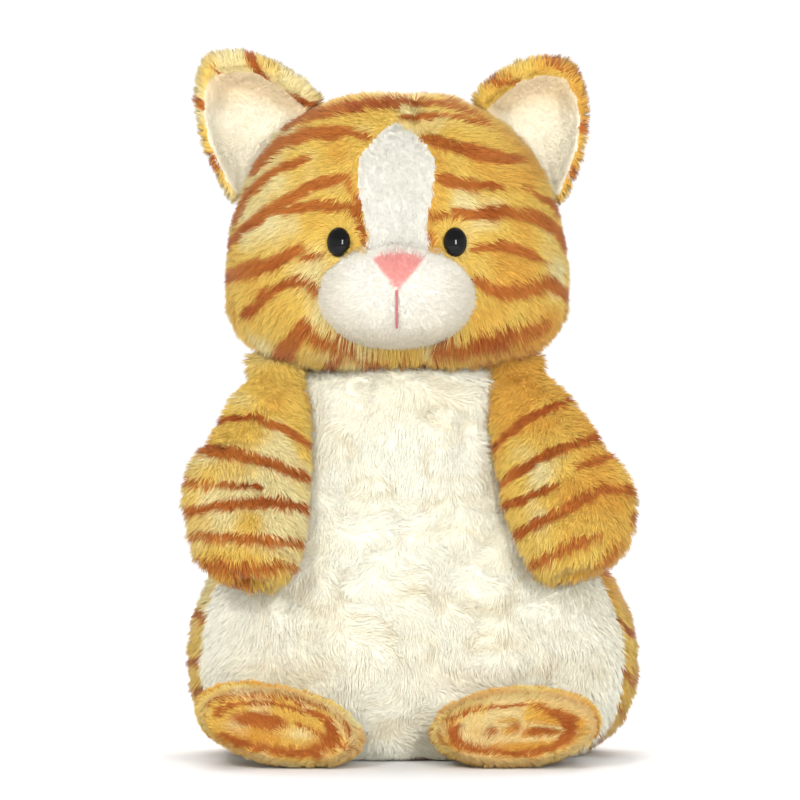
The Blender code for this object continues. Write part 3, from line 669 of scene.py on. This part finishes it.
COATS = {
    "head": Coat(0.006, 0.00042, 2.2e6, 54.0, comb_face, clump=0.4, cluster=0.0028, spread=11.0, droop=1.2,
                 mottle=0.13, catch=(0.0, -0.15, 0.05)),
    "nape": Coat(0.0068, 0.00062, 1.05e6, 56.0, comb_crown),
    "blaze": Coat(0.0048, 0.0004, 2.6e6, 54.0, comb_down, curl=0.15, clump=0.25, cluster=0.0026, mottle=0.02,
                  relief=0.35),
    "muzzle": Coat(0.0022, 0.00042, 2.6e6, 48.0, comb_out, curl=0.15, clump=0.15, mottle=0.04,
                   catch=(0.15, -0.25, 0.15)),
    "belly": Coat(0.0068, 0.0005, 1.36e6, 56.0, comb_belly, curl=0.3, clump=0.34, cluster=0.003,
                  mottle=0.04, relief=0.75, catch=(0.0, -0.45, 0.4)),
    "back": Coat(0.007, 0.00066, 0.95e6, 56.0, comb_down),
    "arm": Coat(0.0064, 0.00044, 2.0e6, 50.0, comb_down, clump=0.42, cluster=0.0028, mottle=0.13,
                catch=(0.0, -0.25, 0.1)),
    "arm_back": Coat(0.0068, 0.00062, 1.1e6, 56.0, comb_down),
    "foot": Coat(0.0046, 0.00044, 2.0e6, 50.0, comb_foot, relief=0.6, catch=(0.0, -0.9, 0.25)),
    "sole": Coat(0.0036, 0.00042, 2.6e6, 52.0, comb_sole, curl=0.25, clump=0.4, cluster=0.0026,
                 catch=(0.0, -0.4, 0.15)),
    "tail": Coat(0.0066, 0.00056, 1.4e6, 52.0, comb_tail),
}


def scatter(points, normals, triangles, density, rng):
    """Roots spread evenly over triangles: their places and normals."""
    a, b, c = (points[triangles[:, i]] for i in range(3))
    area = np.linalg.norm(np.cross(b - a, c - a), axis=1) / 2
    count = int(area.sum() * density)
    edges = np.cumsum(area) / area.sum()
    picks = np.searchsorted(edges, (np.arange(count) + rng.random(count)) / max(count, 1))
    picks = np.minimum(picks, len(triangles) - 1)
    u, v = rng.random(count), rng.random(count)
    flip = u + v > 1.0
    u, v = np.where(flip, 1 - u, u), np.where(flip, 1 - v, v)
    weights = np.stack((1 - u - v, u, v), axis=1)[:, :, None]
    chosen = triangles[picks]
    roots = (points[chosen] * weights).sum(axis=1)
    lift = unit((normals[chosen] * weights).sum(axis=1))
    return roots, lift


def tuft_lines(roots, lift, style, rng):
    """The line of each tuft from its root: combed over, curled, and drawn together in clumps."""
    count = len(roots)
    comb = style.comb(roots)
    noise = np.stack([drift(roots, 0.016, i) - 0.5 for i in range(3)], axis=1)
    comb = unit(comb) + noise * 4.0 * style.curl
    comb = comb - lift * (comb * lift).sum(axis=1, keepdims=True)
    comb = unit(comb)
    lean = np.radians(style.lean + (drift(roots, 0.007, 3) - 0.5) * 34.0)
    lines = lift * np.cos(lean)[:, None] + comb * np.sin(lean)[:, None]
    lines = lines + rng.normal(0.0, math.radians(style.spread), (count, 3))
    under = style.droop * np.maximum(0.0, -lift[:, 2]) * step(-0.01, -0.03, roots[:, 1])
    lines = unit(lines) + under[:, None] * np.array((0.0, -0.35, -0.9))
    lengths = style.length * (0.72 + 0.4 * rng.random(count)) * (0.85 + 0.3 * drift(roots, 0.006, 2))
    lengths = lengths * (1.0 + 0.4 * np.minimum(under, 1.0))
    lines = unit(lines) * lengths[:, None]
    centres = np.flatnonzero(rng.random(count) < min(1.0, 1.0 / (style.density * style.cluster ** 2)))
    if len(centres) < 2:
        return lines
    tree = KDTree(len(centres))
    for i, centre in enumerate(centres):
        tree.insert(roots[centre], i)
    tree.balance()
    nearest = centres[[tree.find(root)[1] for root in roots]]
    pull = (roots + lines)[nearest] - (roots + lines)
    lines = lines + pull * (style.clump * (0.6 + 0.8 * rng.random(count)))[:, None]
    out = (lines * lift).sum(axis=1)
    shallow = np.maximum(0.0, 0.28 * lengths - out)
    return lines + lift * shallow[:, None]


def tuft_mesh(roots, lift, lines, style, rng):
    """Slim three-sided tufts: corners, triangles, and the way each corner is lit."""
    count = len(roots)
    along = unit(lines)
    side = unit(np.cross(along, rng.normal(0.0, 1.0, (count, 3))))
    other = np.cross(along, side)
    facing = unit(lift + style.catch)
    size = style.width * (0.75 + 0.5 * rng.random(count))[:, None] * 0.62
    corners = np.empty((count, 4, 3))
    lit = np.empty((count, 4, 3))
    start = roots - lift * 0.0004
    for i in range(3):
        angle = math.tau * i / 3
        out = side * math.cos(angle) + other * math.sin(angle)
        corners[:, i] = start + out * size
        lit[:, i] = unit(facing * 1.25 + out * 0.55 * style.relief)
    corners[:, 3] = roots + lines
    lit[:, 3] = unit(facing + along * 0.35 * style.relief)
    first = (np.arange(count) * 4)[:, None, None]
    faces = np.array(((0, 1, 3), (1, 2, 3), (2, 0, 3)))[None] + first
    return corners.reshape(-1, 3), lit.reshape(-1, 3), faces.reshape(-1, 3)


def flat_map(points, normals, ring_axis=None):
    """Places of a panel's points on its colour map, laid out flat or round an axis."""
    if ring_axis is None:
        facing = Vector(normals.mean(axis=0)).normalized()
        sideways = facing.cross(Vector((0, 0, 1)))
        sideways = Vector((1, 0, 0)) if sideways.length < 0.2 else sideways.normalized()
        return np.stack([points @ np.array(way) for way in (sideways, sideways.cross(facing))], axis=1)
    off = points - (points.max(axis=0) + points.min(axis=0)) / 2
    first, second = (off[:, i] for i in range(3) if i != ring_axis)
    radius = np.hypot(first, second).mean()
    return np.stack((np.arctan2(second, first) * radius, off[:, ring_axis]), axis=1)


def build_mesh(name, points, lit, quads, triangles, colours, rise, chart):
    """A mesh from plain arrays, with its coat colours, its lighting and its colour map."""
    mesh = bpy.data.meshes.new(name)
    sizes = np.concatenate([np.full(len(quads), 4), np.full(len(triangles), 3)]).astype(np.int32)
    loops = np.concatenate([quads.ravel(), triangles.ravel()]).astype(np.int32)
    starts = np.concatenate([[0], np.cumsum(sizes)[:-1]]).astype(np.int32)
    mesh.vertices.add(len(points))
    mesh.vertices.foreach_set("co", points.astype(np.float32).ravel())
    mesh.loops.add(len(loops))
    mesh.loops.foreach_set("vertex_index", loops)
    mesh.polygons.add(len(sizes))
    mesh.polygons.foreach_set("loop_start", starts)
    mesh.update(calc_edges=True)
    mesh.polygons.foreach_set("use_smooth", np.ones(len(sizes), bool))
    pelt = mesh.attributes.new("pelt", "FLOAT_COLOR", "POINT")
    pelt.data.foreach_set("color", np.concatenate([colours, np.ones((len(colours), 1))], axis=1)
                          .astype(np.float32).ravel())
    grown = mesh.attributes.new("rise", "FLOAT", "POINT")
    grown.data.foreach_set("value", rise.astype(np.float32))
    low, high = chart.min(axis=0), chart.max(axis=0)
    chart = 0.01 + 0.98 * (chart - low) / np.maximum(high - low, 1e-6)
    uv = mesh.uv_layers.new(name="OFBake")
    uv.data.foreach_set("uv", chart[loops].astype(np.float32).ravel())
    mesh.normals_split_custom_set_from_vertices(lit.astype(np.float32))
    return mesh


def nearest_panel(panels):
    """Tells which CAD panel each point lies nearest to."""
    verts, faces, owner = [], [], []
    for number, node in enumerate(panels):
        mesh = NODES[node].data
        offset = len(verts)
        verts.extend(v.co.copy() for v in mesh.vertices)
        faces.extend([i + offset for i in p.vertices] for p in mesh.polygons)
        owner.extend([number] * len(mesh.polygons))
    tree = BVHTree.FromPolygons(verts, faces)

    def choose(points):
        return np.array([owner[tree.find_nearest(point)[2]] for point in points])
    return choose


def grow_pile(node, style, skin, choose, number, rng):
    """The tufts of one panel: corners, lighting, faces, colours, rise, roots, lift and lines."""
    points, normals, quads = skin
    triangles = np.concatenate([quads[:, [0, 1, 2]], quads[:, [0, 2, 3]]])
    roots, lift = scatter(points, normals, triangles, style.density, rng)
    mine = choose(roots) == number
    roots, lift = roots[mine], lift[mine]
    lines = tuft_lines(roots, lift, style, rng)
    tips = roots + lines
    tips[:, 2] = np.maximum(tips[:, 2], FLOOR_CLEARANCE)
    lines = tips - roots
    corners, lit, faces = tuft_mesh(roots, lift, lines, style, rng)
    corners[:, 2] = np.maximum(corners[:, 2], FLOOR_CLEARANCE / 2)
    sampled = roots + unit(lines) * rng.normal(0.0, 0.0012, len(roots))[:, None]
    tint = coat(node, sampled) * (1.0 + rng.normal(0.0, style.mottle, len(roots)))[:, None]
    colours = np.repeat(np.clip(tint, 0.0, 1.0), 4, axis=0)
    return corners, lit, faces, colours, roots, lift, lines


def furred_panels(obj, styles, seed, rings=None, choose=None):
    """Cuts a skin along its seams and grows each panel's pile: one piece per panel."""
    panels = list(styles)
    choose = choose or nearest_panel(panels)
    rings = rings or {}
    with_modifier(obj, "SUBSURF", levels=1, render_levels=1)
    above_floor(obj)
    points, normals = surface(obj.data)
    quads = np.array([p.vertices[:] for p in obj.data.polygons if len(p.vertices) == 4])
    owner = choose(points[quads].mean(axis=1))
    rng = np.random.default_rng(seed)
    for number, node in enumerate(panels):
        style = styles[node]
        own = quads[owner == number]
        used, back = np.unique(own, return_inverse=True)
        shell, shell_lit = points[used], unit(normals[used] + (style.catch if style else 0.0))
        # The skin under the tufts has rise 0, so the pile material paints it with the darkest root shade.
        parts = [(shell, shell_lit, coat(node, shell), np.zeros(len(shell)))]
        tufts = np.zeros((0, 3), int)
        charts = [flat_map(shell, shell_lit, rings.get(node))]
        if style:
            near = quads[np.isin(quads, used).any(axis=1)]
            pile = grow_pile(node, style, (points, normals, near), choose, number, rng)
            corners, lit, faces, colours, roots, lift, lines = pile
            # Tufts rise from 0.25 at their bases, where the pile material paints shade, to 1 at their tips.
            parts.append((corners, lit, colours, np.tile((0.25, 0.25, 0.25, 1.0), len(roots))))
            both = np.concatenate([shell, roots]), np.concatenate([shell_lit, lift])
            mapped = flat_map(*both, rings.get(node))
            slant = np.repeat(lines, 4, axis=0) * np.tile((0.0, 0.02, 0.04, 0.3), len(roots))[:, None]
            nudge = np.stack((slant[:, 0] + slant[:, 1], slant[:, 2]), axis=1)
            nudge = nudge + np.tile(((0, 0), (0.0003, 0), (0, 0.0003), (0, 0)), (len(roots), 1))
            charts = [mapped[:len(shell)], np.repeat(mapped[len(shell):], 4, axis=0) + nudge]
            tufts = faces + len(shell)
        joined = [np.concatenate([part[i] for part in parts]) for i in range(4)]
        mesh = build_mesh(node + "_plush", joined[0], joined[1], back.reshape(-1, 4), tufts, joined[2],
                          joined[3], np.concatenate(charts))
        piece = finish_piece(link(bpy.data.objects.new(node + "_plush", mesh)), node)
    bpy.data.objects.remove(obj)


def record_slot(node):
    return next(part["material_slot"] for part in frame["record"]["subparts"] if part["node"] == node)


def body_of(node):
    return next(body for body, nodes in frame["record"]["behaviour"]["bodies"].items() if node in nodes)


def finish_piece(obj, node):
    """Gives a piece the material of its node's slot, hides the node, and hangs the piece on the node's body."""
    slot = record_slot(node)
    obj.data.materials.clear()
    obj.data.materials.append(MATERIALS[slot])
    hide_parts(node)
    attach(obj, body_of(node))
    return obj


def rounded_copy(node, name):
    """A node's own shape as a new object, with its faces divided and smoothed."""
    obj = object_from(clean_bmesh(NODES[node].data), name)
    with_modifier(obj, "SUBSURF", levels=2, render_levels=2)
    obj.data.shade_smooth()
    return obj


# ------------ parts

HEAD_MIDDLE = -0.006
BLAZE_EDGE = ((0.23, 0.015), (0.252, 0.0152), (0.264, 0.0152), (0.278, 0.0172), (0.29, 0.0192),
              (0.296, 0.0182), (0.304, 0.0125), (0.31, 0.0065), (0.3135, 0.0))
MUZZLE_MIDDLE = 0.2285
MUZZLE_REACH = (0.0378, 0.0258)


def head_panel_rule(panels):
    """Seam lines of the face, drawn smoothly: muzzle, blaze, then the two sides."""
    nearest = nearest_panel(panels)

    def choose(points):
        owner = nearest(points)
        side = points[:, 0] - HEAD_MIDDLE
        face = (owner <= panels.index("muzzle")) & (points[:, 1] < -0.005)
        owner = np.where(face, np.where(side < 0, 0, 1), owner)
        heights, widths = zip(*BLAZE_EDGE)
        width = np.interp(points[:, 2], heights, widths, right=-1.0)
        width = width + (drift(points, 0.006, 2) - 0.5) * 0.002
        owner = np.where(face & (np.abs(side) < width) & (points[:, 2] > 0.23), 2, owner)
        round_muzzle = np.abs(side / MUZZLE_REACH[0]) ** 2.05
        round_muzzle = round_muzzle + np.abs((points[:, 2] - MUZZLE_MIDDLE) / MUZZLE_REACH[1]) ** 2.05
        return np.where(face & (round_muzzle < 1.0), 3, owner)
    return choose


def crease(skin):
    """The pull of the seam under the muzzle, and two dimples at the eyes."""
    points, normals = surface(skin.data)
    wide = (points[:, 0] - HEAD_MIDDLE) / MUZZLE_REACH[0]
    tall = (points[:, 2] - MUZZLE_MIDDLE) / MUZZLE_REACH[1]
    ring = (np.abs(wide) ** 2.2 + np.abs(tall) ** 2.2) ** (1 / 2.2)
    deep = 0.0026 * bump_at(ring, 1.08, 0.13) * step(0.9, -0.2, tall)
    for side in SIDES:
        middle = middle_of(side + "_eye")
        away = np.hypot(points[:, 0] - middle.x, points[:, 2] - middle.z)
        deep = deep + 0.0012 * np.exp(-(away / 0.008) ** 2)
    deep = deep * step(-0.005, -0.02, points[:, 1])
    place_points(skin, points - normals * deep[:, None])


def head():
    panels = {"right_face_panel": COATS["head"], "left_face_panel": COATS["head"],
              "forehead_blaze": COATS["blaze"], "muzzle": COATS["muzzle"],
              "right_head_back_panel": COATS["nape"], "left_head_back_panel": COATS["nape"]}
    skin = stuffed_skin("head_skin", panels, "head_stuffing")
    inflate(skin, list(panels), 0.0022)
    crease(skin)
    furred_panels(skin, panels, 21, choose=head_panel_rule(list(panels)))


FOLD_DEPTH = 0.0021


def ripple(skin):
    """Soft cross folds in the long pile of the belly."""
    points, normals = surface(skin.data)
    deep = FOLD_DEPTH * belly_fold(points) * step(0.004, 0.02, points[:, 2])
    place_points(skin, points - normals * deep[:, None])
    with_modifier(skin, "SMOOTH", factor=0.5, iterations=2)


def dimples(skin):
    """Two pinches and a groove in the left sole."""
    points = surface(skin.data)[0]
    middle = middle_of("left_foot_sole")
    deep = np.zeros(len(points))
    for across, up, wide, tall in DIMPLES:
        place = (middle.x + across, middle.z + up)
        deep = np.maximum(deep, np.exp(-((points[:, 0] - place[0]) / wide) ** 2
                                       - ((points[:, 2] - place[1]) / tall) ** 2))
    points[:, 1] += DIMPLE_DEPTH * deep * step(-0.07, -0.085, points[:, 1])
    place_points(skin, points)


def body():
    panels = {"belly_panel": COATS["belly"], "right_back_panel": COATS["back"],
              "left_back_panel": COATS["back"], "base_panel": None}
    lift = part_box("belly_panel")[1].z
    neck = ((-0.0025, -0.006, lift - 0.008), (0.057, 0.036, 0.0175))
    skin = stuffed_skin("body_skin", panels, "body_stuffing", lumps=(neck,))
    inflate(skin, ["belly_panel", "right_back_panel", "left_back_panel"], 0.0022)
    ripple(skin)
    furred_panels(skin, panels, 22)


PALM_HEIGHT = {"right": 0.042, "left": 0.034}
PALM_SWELL = {"right": (0.0165, 0.013, 0.026), "left": (0.0185, 0.013, 0.027)}


def arms():
    for number, side in enumerate(SIDES):
        panels = {side + "_arm_front": COATS["arm"], side + "_arm_back": COATS["arm_back"]}
        joint = next(j for j in frame["joints"] if j["name"] == side + "_arm_lift")
        sign = 1.0 if side == "left" else -1.0
        top = Vector(joint["pos_m"]) + Vector((0.003 * sign, 0.001, 0.002))
        low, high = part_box(side + "_arm_front")
        outer = high.x if side == "left" else low.x
        bulge = Vector((outer - 0.0145 * sign, low.y + 0.026, low.z + PALM_HEIGHT[side]))
        skin = stuffed_skin(side + "_arm_skin", panels, side + "_arm_stuffing", voxel=0.003, soften=3,
                            lumps=((top, (0.014, 0.011, 0.0088)), (bulge, PALM_SWELL[side])))
        inflate(skin, list(panels), 0.0026)
        furred_panels(skin, panels, 31 + number)


def foot_panel_rule(panels):
    """The sole takes in the rounded edge in front of its seam."""
    nearest = nearest_panel(panels)

    def choose(points):
        return np.where(points[:, 1] < -0.0835, 1, nearest(points))
    return choose


def feet():
    for number, side in enumerate(SIDES):
        panels = {side + "_foot_upper": COATS["foot"], side + "_foot_sole": COATS["sole"]}
        skin = stuffed_skin(side + "_foot_skin", panels, side + "_foot_stuffing", voxel=0.003, soften=3)
        inflate(skin, list(panels), 0.002)
        if side == "left":
            dimples(skin)
        furred_panels(skin, panels, 41 + number, rings={side + "_foot_upper": 1},
                      choose=foot_panel_rule(list(panels)))


EAR_BASES = (Vector((0.0375, 0.0, 0.3245)), Vector((0.0795, 0.0, 0.274)))
EAR_TIPS = {"right": Vector((0.094, -0.004, 0.343)), "left": Vector((0.0875, -0.004, 0.3395))}
EAR_RINGS = (0.0, 0.14, 0.28, 0.4, 0.48, 0.54, 0.6, 0.66, 0.72, 0.78, 0.84, 0.9, 0.96, 1.0)
HOLLOW_GENTLE = ((0.0, 0.0046), (0.3, 0.0042), (0.55, 0.0026), (0.75, -0.0004), (0.84, -0.003),
                 (0.9, -0.004), (0.96, -0.0026), (1.0, 0.0))
HOLLOW_STEEP = ((0.0, 0.005), (0.3, 0.0046), (0.48, 0.003), (0.6, -0.0004), (0.72, -0.0046),
                (0.84, -0.007), (0.93, -0.0056), (1.0, 0.0))
EAR_BACK = ((0.0, 0.008), (0.5, 0.0076), (0.75, 0.0062), (0.9, 0.0034), (1.0, 0.0))
EAR_HUB = (0.05, 0.34)
EAR_CUP = 0.009


def ear_outline(columns):
    """(across, along) round an ear: up its inner side, over the tip, down, and along the base."""
    found = []
    rise = int(columns * 0.72)
    for i in range(rise):
        angle = math.pi * i / (rise - 1)
        cos, sin = math.cos(angle), math.sin(angle)
        found.append((-math.copysign(abs(cos) ** (2 / 1.7), cos), abs(sin) ** (2 / 1.7)))
    rest = columns - rise
    for i in range(rest):
        share = (i + 1) / (rest + 1)
        found.append((1.0 - 2.0 * share, -0.1 * math.sin(math.pi * share)))
    return found


def ear_corners(side):
    sign = 1 if side == "left" else -1
    return [Vector((HEAD_MIDDLE + sign * c.x, c.y, c.z)) for c in (*EAR_BASES, EAR_TIPS[side])]


def ear_point(corners, across, along, off):
    """A point of an ear from its shares across and along, and its distance behind its middle."""
    inner, outer, tip = corners
    middle = (inner + outer) / 2
    point = middle + (outer - inner) / 2 * across + (tip - middle) * (along + 0.02)
    point.y += off + EAR_CUP * (0.6 * (1.0 - along) - across ** 2)
    return point


def ear_shares(corners, points):
    """Each point's shares across and along its ear."""
    inner, outer, tip = corners
    middle = (inner + outer) / 2
    wide, tall = (outer - inner) / 2, tip - middle
    away = points[:, [0, 2]] - np.array((middle.x, middle.z))
    grid = np.linalg.inv(np.array(((wide.x, tall.x), (wide.z, tall.z))))
    shares = away @ grid.T
    return shares[:, 0], shares[:, 1] - 0.02


def ear_skin(side, corners):
    """A cupped ear with a rolled rim and a hollow under its upper fold."""
    columns = 72
    outline = ear_outline(columns)
    bm = bmesh.new()
    sheets = []
    for facing in (-1, 1):
        rows = []
        for ring in EAR_RINGS[1:] if facing < 0 else EAR_RINGS[1:-1]:
            row = []
            for across, along in outline:
                fold = float(step(-0.25, 0.35, np.array((along - EAR_HUB[1]) * 0.8 - across * 0.75)))
                gentle = np.interp(ring, *zip(*HOLLOW_GENTLE))
                steep = np.interp(ring, *zip(*HOLLOW_STEEP))
                off = gentle + (steep - gentle) * fold if facing < 0 else np.interp(ring, *zip(*EAR_BACK))
                place = [hub + (share - hub) * ring for hub, share in zip(EAR_HUB, (across, along))]
                row.append(bm.verts.new(ear_point(corners, *place, off)))
            rows.append(row)
        centre = HOLLOW_STEEP[0][1] if facing < 0 else EAR_BACK[0][1]
        sheets.append((rows, bm.verts.new(ear_point(corners, *EAR_HUB, centre))))
    sheets[1][0].append(sheets[0][0][-1])
    for rows, middle in sheets:
        for i in range(columns):
            j = (i + 1) % columns
            bm.faces.new((middle, rows[0][i], rows[0][j]))
            for low, high in zip(rows, rows[1:]):
                bm.faces.new((low[i], low[j], high[j], high[i]))
    bmesh.ops.recalc_face_normals(bm, faces=bm.faces)
    return object_from(bm, side + "_ear_skin")


EAR_MIDDLE = ((0.0, 0.0063), (0.5, 0.0053), (0.75, 0.0029), (0.9, -0.0003), (1.0, -0.001))


def ear_panel_rule(corners):
    """The lining fills the hollow inside the rolled rim; the striped back is all the rest."""
    inner, outer, tip = corners
    slant = (tip - (inner + outer) / 2).y

    def choose(points):
        across, along = ear_shares(corners, points)
        ring = (np.abs(across) ** 1.7 + np.maximum(along, 0.0) ** 1.7) ** (1 / 1.7)
        sheet = slant * (along + 0.02) + EAR_CUP * (0.6 * (1.0 - along) - across ** 2)
        front = points[:, 1] < sheet + np.interp(ring, *zip(*EAR_MIDDLE))
        reach = np.where(across < 0.08, 0.8, 0.83)
        edge = np.abs((across - 0.08) / reach) ** 1.9 + np.maximum(along / 0.84, 0.0) ** 1.9
        edge = edge + (drift(points, 0.005, 1) - 0.5) * 0.1
        return (front & (edge < 1.0)).astype(int)
    return choose


def ear_comb(corners):
    hub = np.array(ear_point(corners, 0.0, 0.2, 0.0))

    def comb(points):
        out = points - hub
        out[:, 1] *= 0.3
        return out
    return comb


def ears():
    for number, side in enumerate(SIDES):
        corners = ear_corners(side)
        comb = ear_comb(corners)
        panels = {side + "_ear_back": Coat(0.0052, 0.00044, 2.0e6, 55.0, comb, clump=0.45, cluster=0.0026),
                  side + "_ear_lining": Coat(0.0026, 0.00036, 2.4e6, 50.0, comb, curl=0.15, clump=0.1,
                                             mottle=0.03)}
        furred_panels(ear_skin(side, corners), panels, 61 + number, choose=ear_panel_rule(corners))


def tail():
    skin = stuffed_skin("tail_skin", ["tail_cover"], "tail_stuffing", voxel=0.0026, soften=2)
    furred_panels(skin, {"tail_cover": COATS["tail"]}, 51, rings={"tail_cover": 2})


def fibre_pieces():
    """Loose filling: lumpy inside its cover."""
    for node in ("head_stuffing", "body_stuffing", "right_arm_stuffing", "left_arm_stuffing",
                 "right_foot_stuffing", "left_foot_stuffing", "tail_stuffing", "bean_bag"):
        obj = rounded_copy(node, node + "_soft")
        points, normals = surface(obj.data)
        deep = 0.0005 + 0.0022 * drift(points, 0.01, 1) + 0.0008 * drift(points, 0.004, 2)
        if node == "bean_bag":
            deep = 0.0002 + 0.0006 * drift(points, 0.004, 1)
        place_points(obj, points - normals * deep[:, None])
        finish_piece(obj, node)


def eyes():
    """Rounded, glossy domes on their shanks."""
    for side in SIDES:
        finish_piece(rounded_copy(side + "_eye", side + "_eye_gloss"), side + "_eye")


def kept_nodes():
    """Nodes whose own shape is right keep it, with a finished material."""
    for node, obj in NODES.items():
        if not obj.hide_render:
            obj.data.materials.clear()
            obj.data.materials.append(MATERIALS[record_slot(node)])


# ------------ studio

FLOOR_RADIUS = 1.3
FLOOR_TONE = 0.92


def studio_floor():
    """A pale round floor."""
    bm = bmesh.new()
    bmesh.ops.create_circle(bm, cap_ends=True, segments=96, radius=FLOOR_RADIUS)
    floor = object_from(bm, "studio_floor")
    pale, _ = new_material("pale_floor", {"Base Color": (FLOOR_TONE, FLOOR_TONE, FLOOR_TONE, 1.0),
                                          "Roughness": 0.9, "Specular IOR Level": 0.1})
    floor.data.materials.append(pale)


def area_light(name, place, target, size, power, glints=True):
    data = bpy.data.lights.new(name, "AREA")
    data.shape = "RECTANGLE"
    data.size, data.size_y = size
    data.energy = power
    lamp = link(bpy.data.objects.new(name, data))
    lamp.location = place
    lamp.rotation_euler = (Vector(target) - Vector(place)).to_track_quat("-Z", "Y").to_euler()
    lamp.visible_glossy = glints


def studio_lights():
    """Three soft lights, and a white surround that is brightest near the horizon."""
    area_light("key_light", (-0.62, -1.3, 0.85), (0, 0, 0.2), (0.27, 0.27), 9.0, glints=False)
    area_light("fill_light", (0.4, -1.4, 0.46), (0, 0, 0.12), (0.22, 0.42), 9.0)
    area_light("top_light", (0.0, 1.0, 1.9), (0, 0.2, 0.1), (2.4, 1.4), 36.0)
    world = bpy.data.worlds.new("studio_world")
    world.use_nodes = True
    tree = world.node_tree
    place = add_node(tree, "TexCoord")
    split = add_node(tree, "SeparateXYZ")
    bright = add_node(tree, "MapRange", {"From Min": 0.2, "From Max": 0.42, "To Min": 1.1, "To Max": 0.62})
    background = tree.nodes["Background"]
    background.inputs["Color"].default_value = (1.0, 1.0, 1.0, 1.0)
    join(tree, (place, "Generated", split, "Vector"), (split, "Z", bright, "Value"),
         (bright, "Result", background, "Strength"))
    bpy.context.scene.world = world


CAMERA_DISTANCE = 3.2
CAMERA_ELEVATION = math.radians(1.5)
CAMERA_LENS = 290.3
AIM = Vector((-0.0045, 0.0, 0.1763))


def camera():
    data = bpy.data.cameras.new("camera")
    data.lens = CAMERA_LENS
    data.sensor_width = 36.0
    data.clip_start, data.clip_end = 0.1, 20.0
    eye = link(bpy.data.objects.new("camera", data))
    away = Vector((0, -math.cos(CAMERA_ELEVATION), math.sin(CAMERA_ELEVATION)))
    eye.location = AIM + CAMERA_DISTANCE * away
    eye.rotation_euler = (AIM - eye.location).to_track_quat("-Z", "Y").to_euler()
    bpy.context.scene.camera = eye


camera()
studio_floor()
studio_lights()
bpy.context.scene.view_settings.view_transform = "Standard"
head()
body()
ears()
arms()
feet()
tail()
fibre_pieces()
eyes()
kept_nodes()
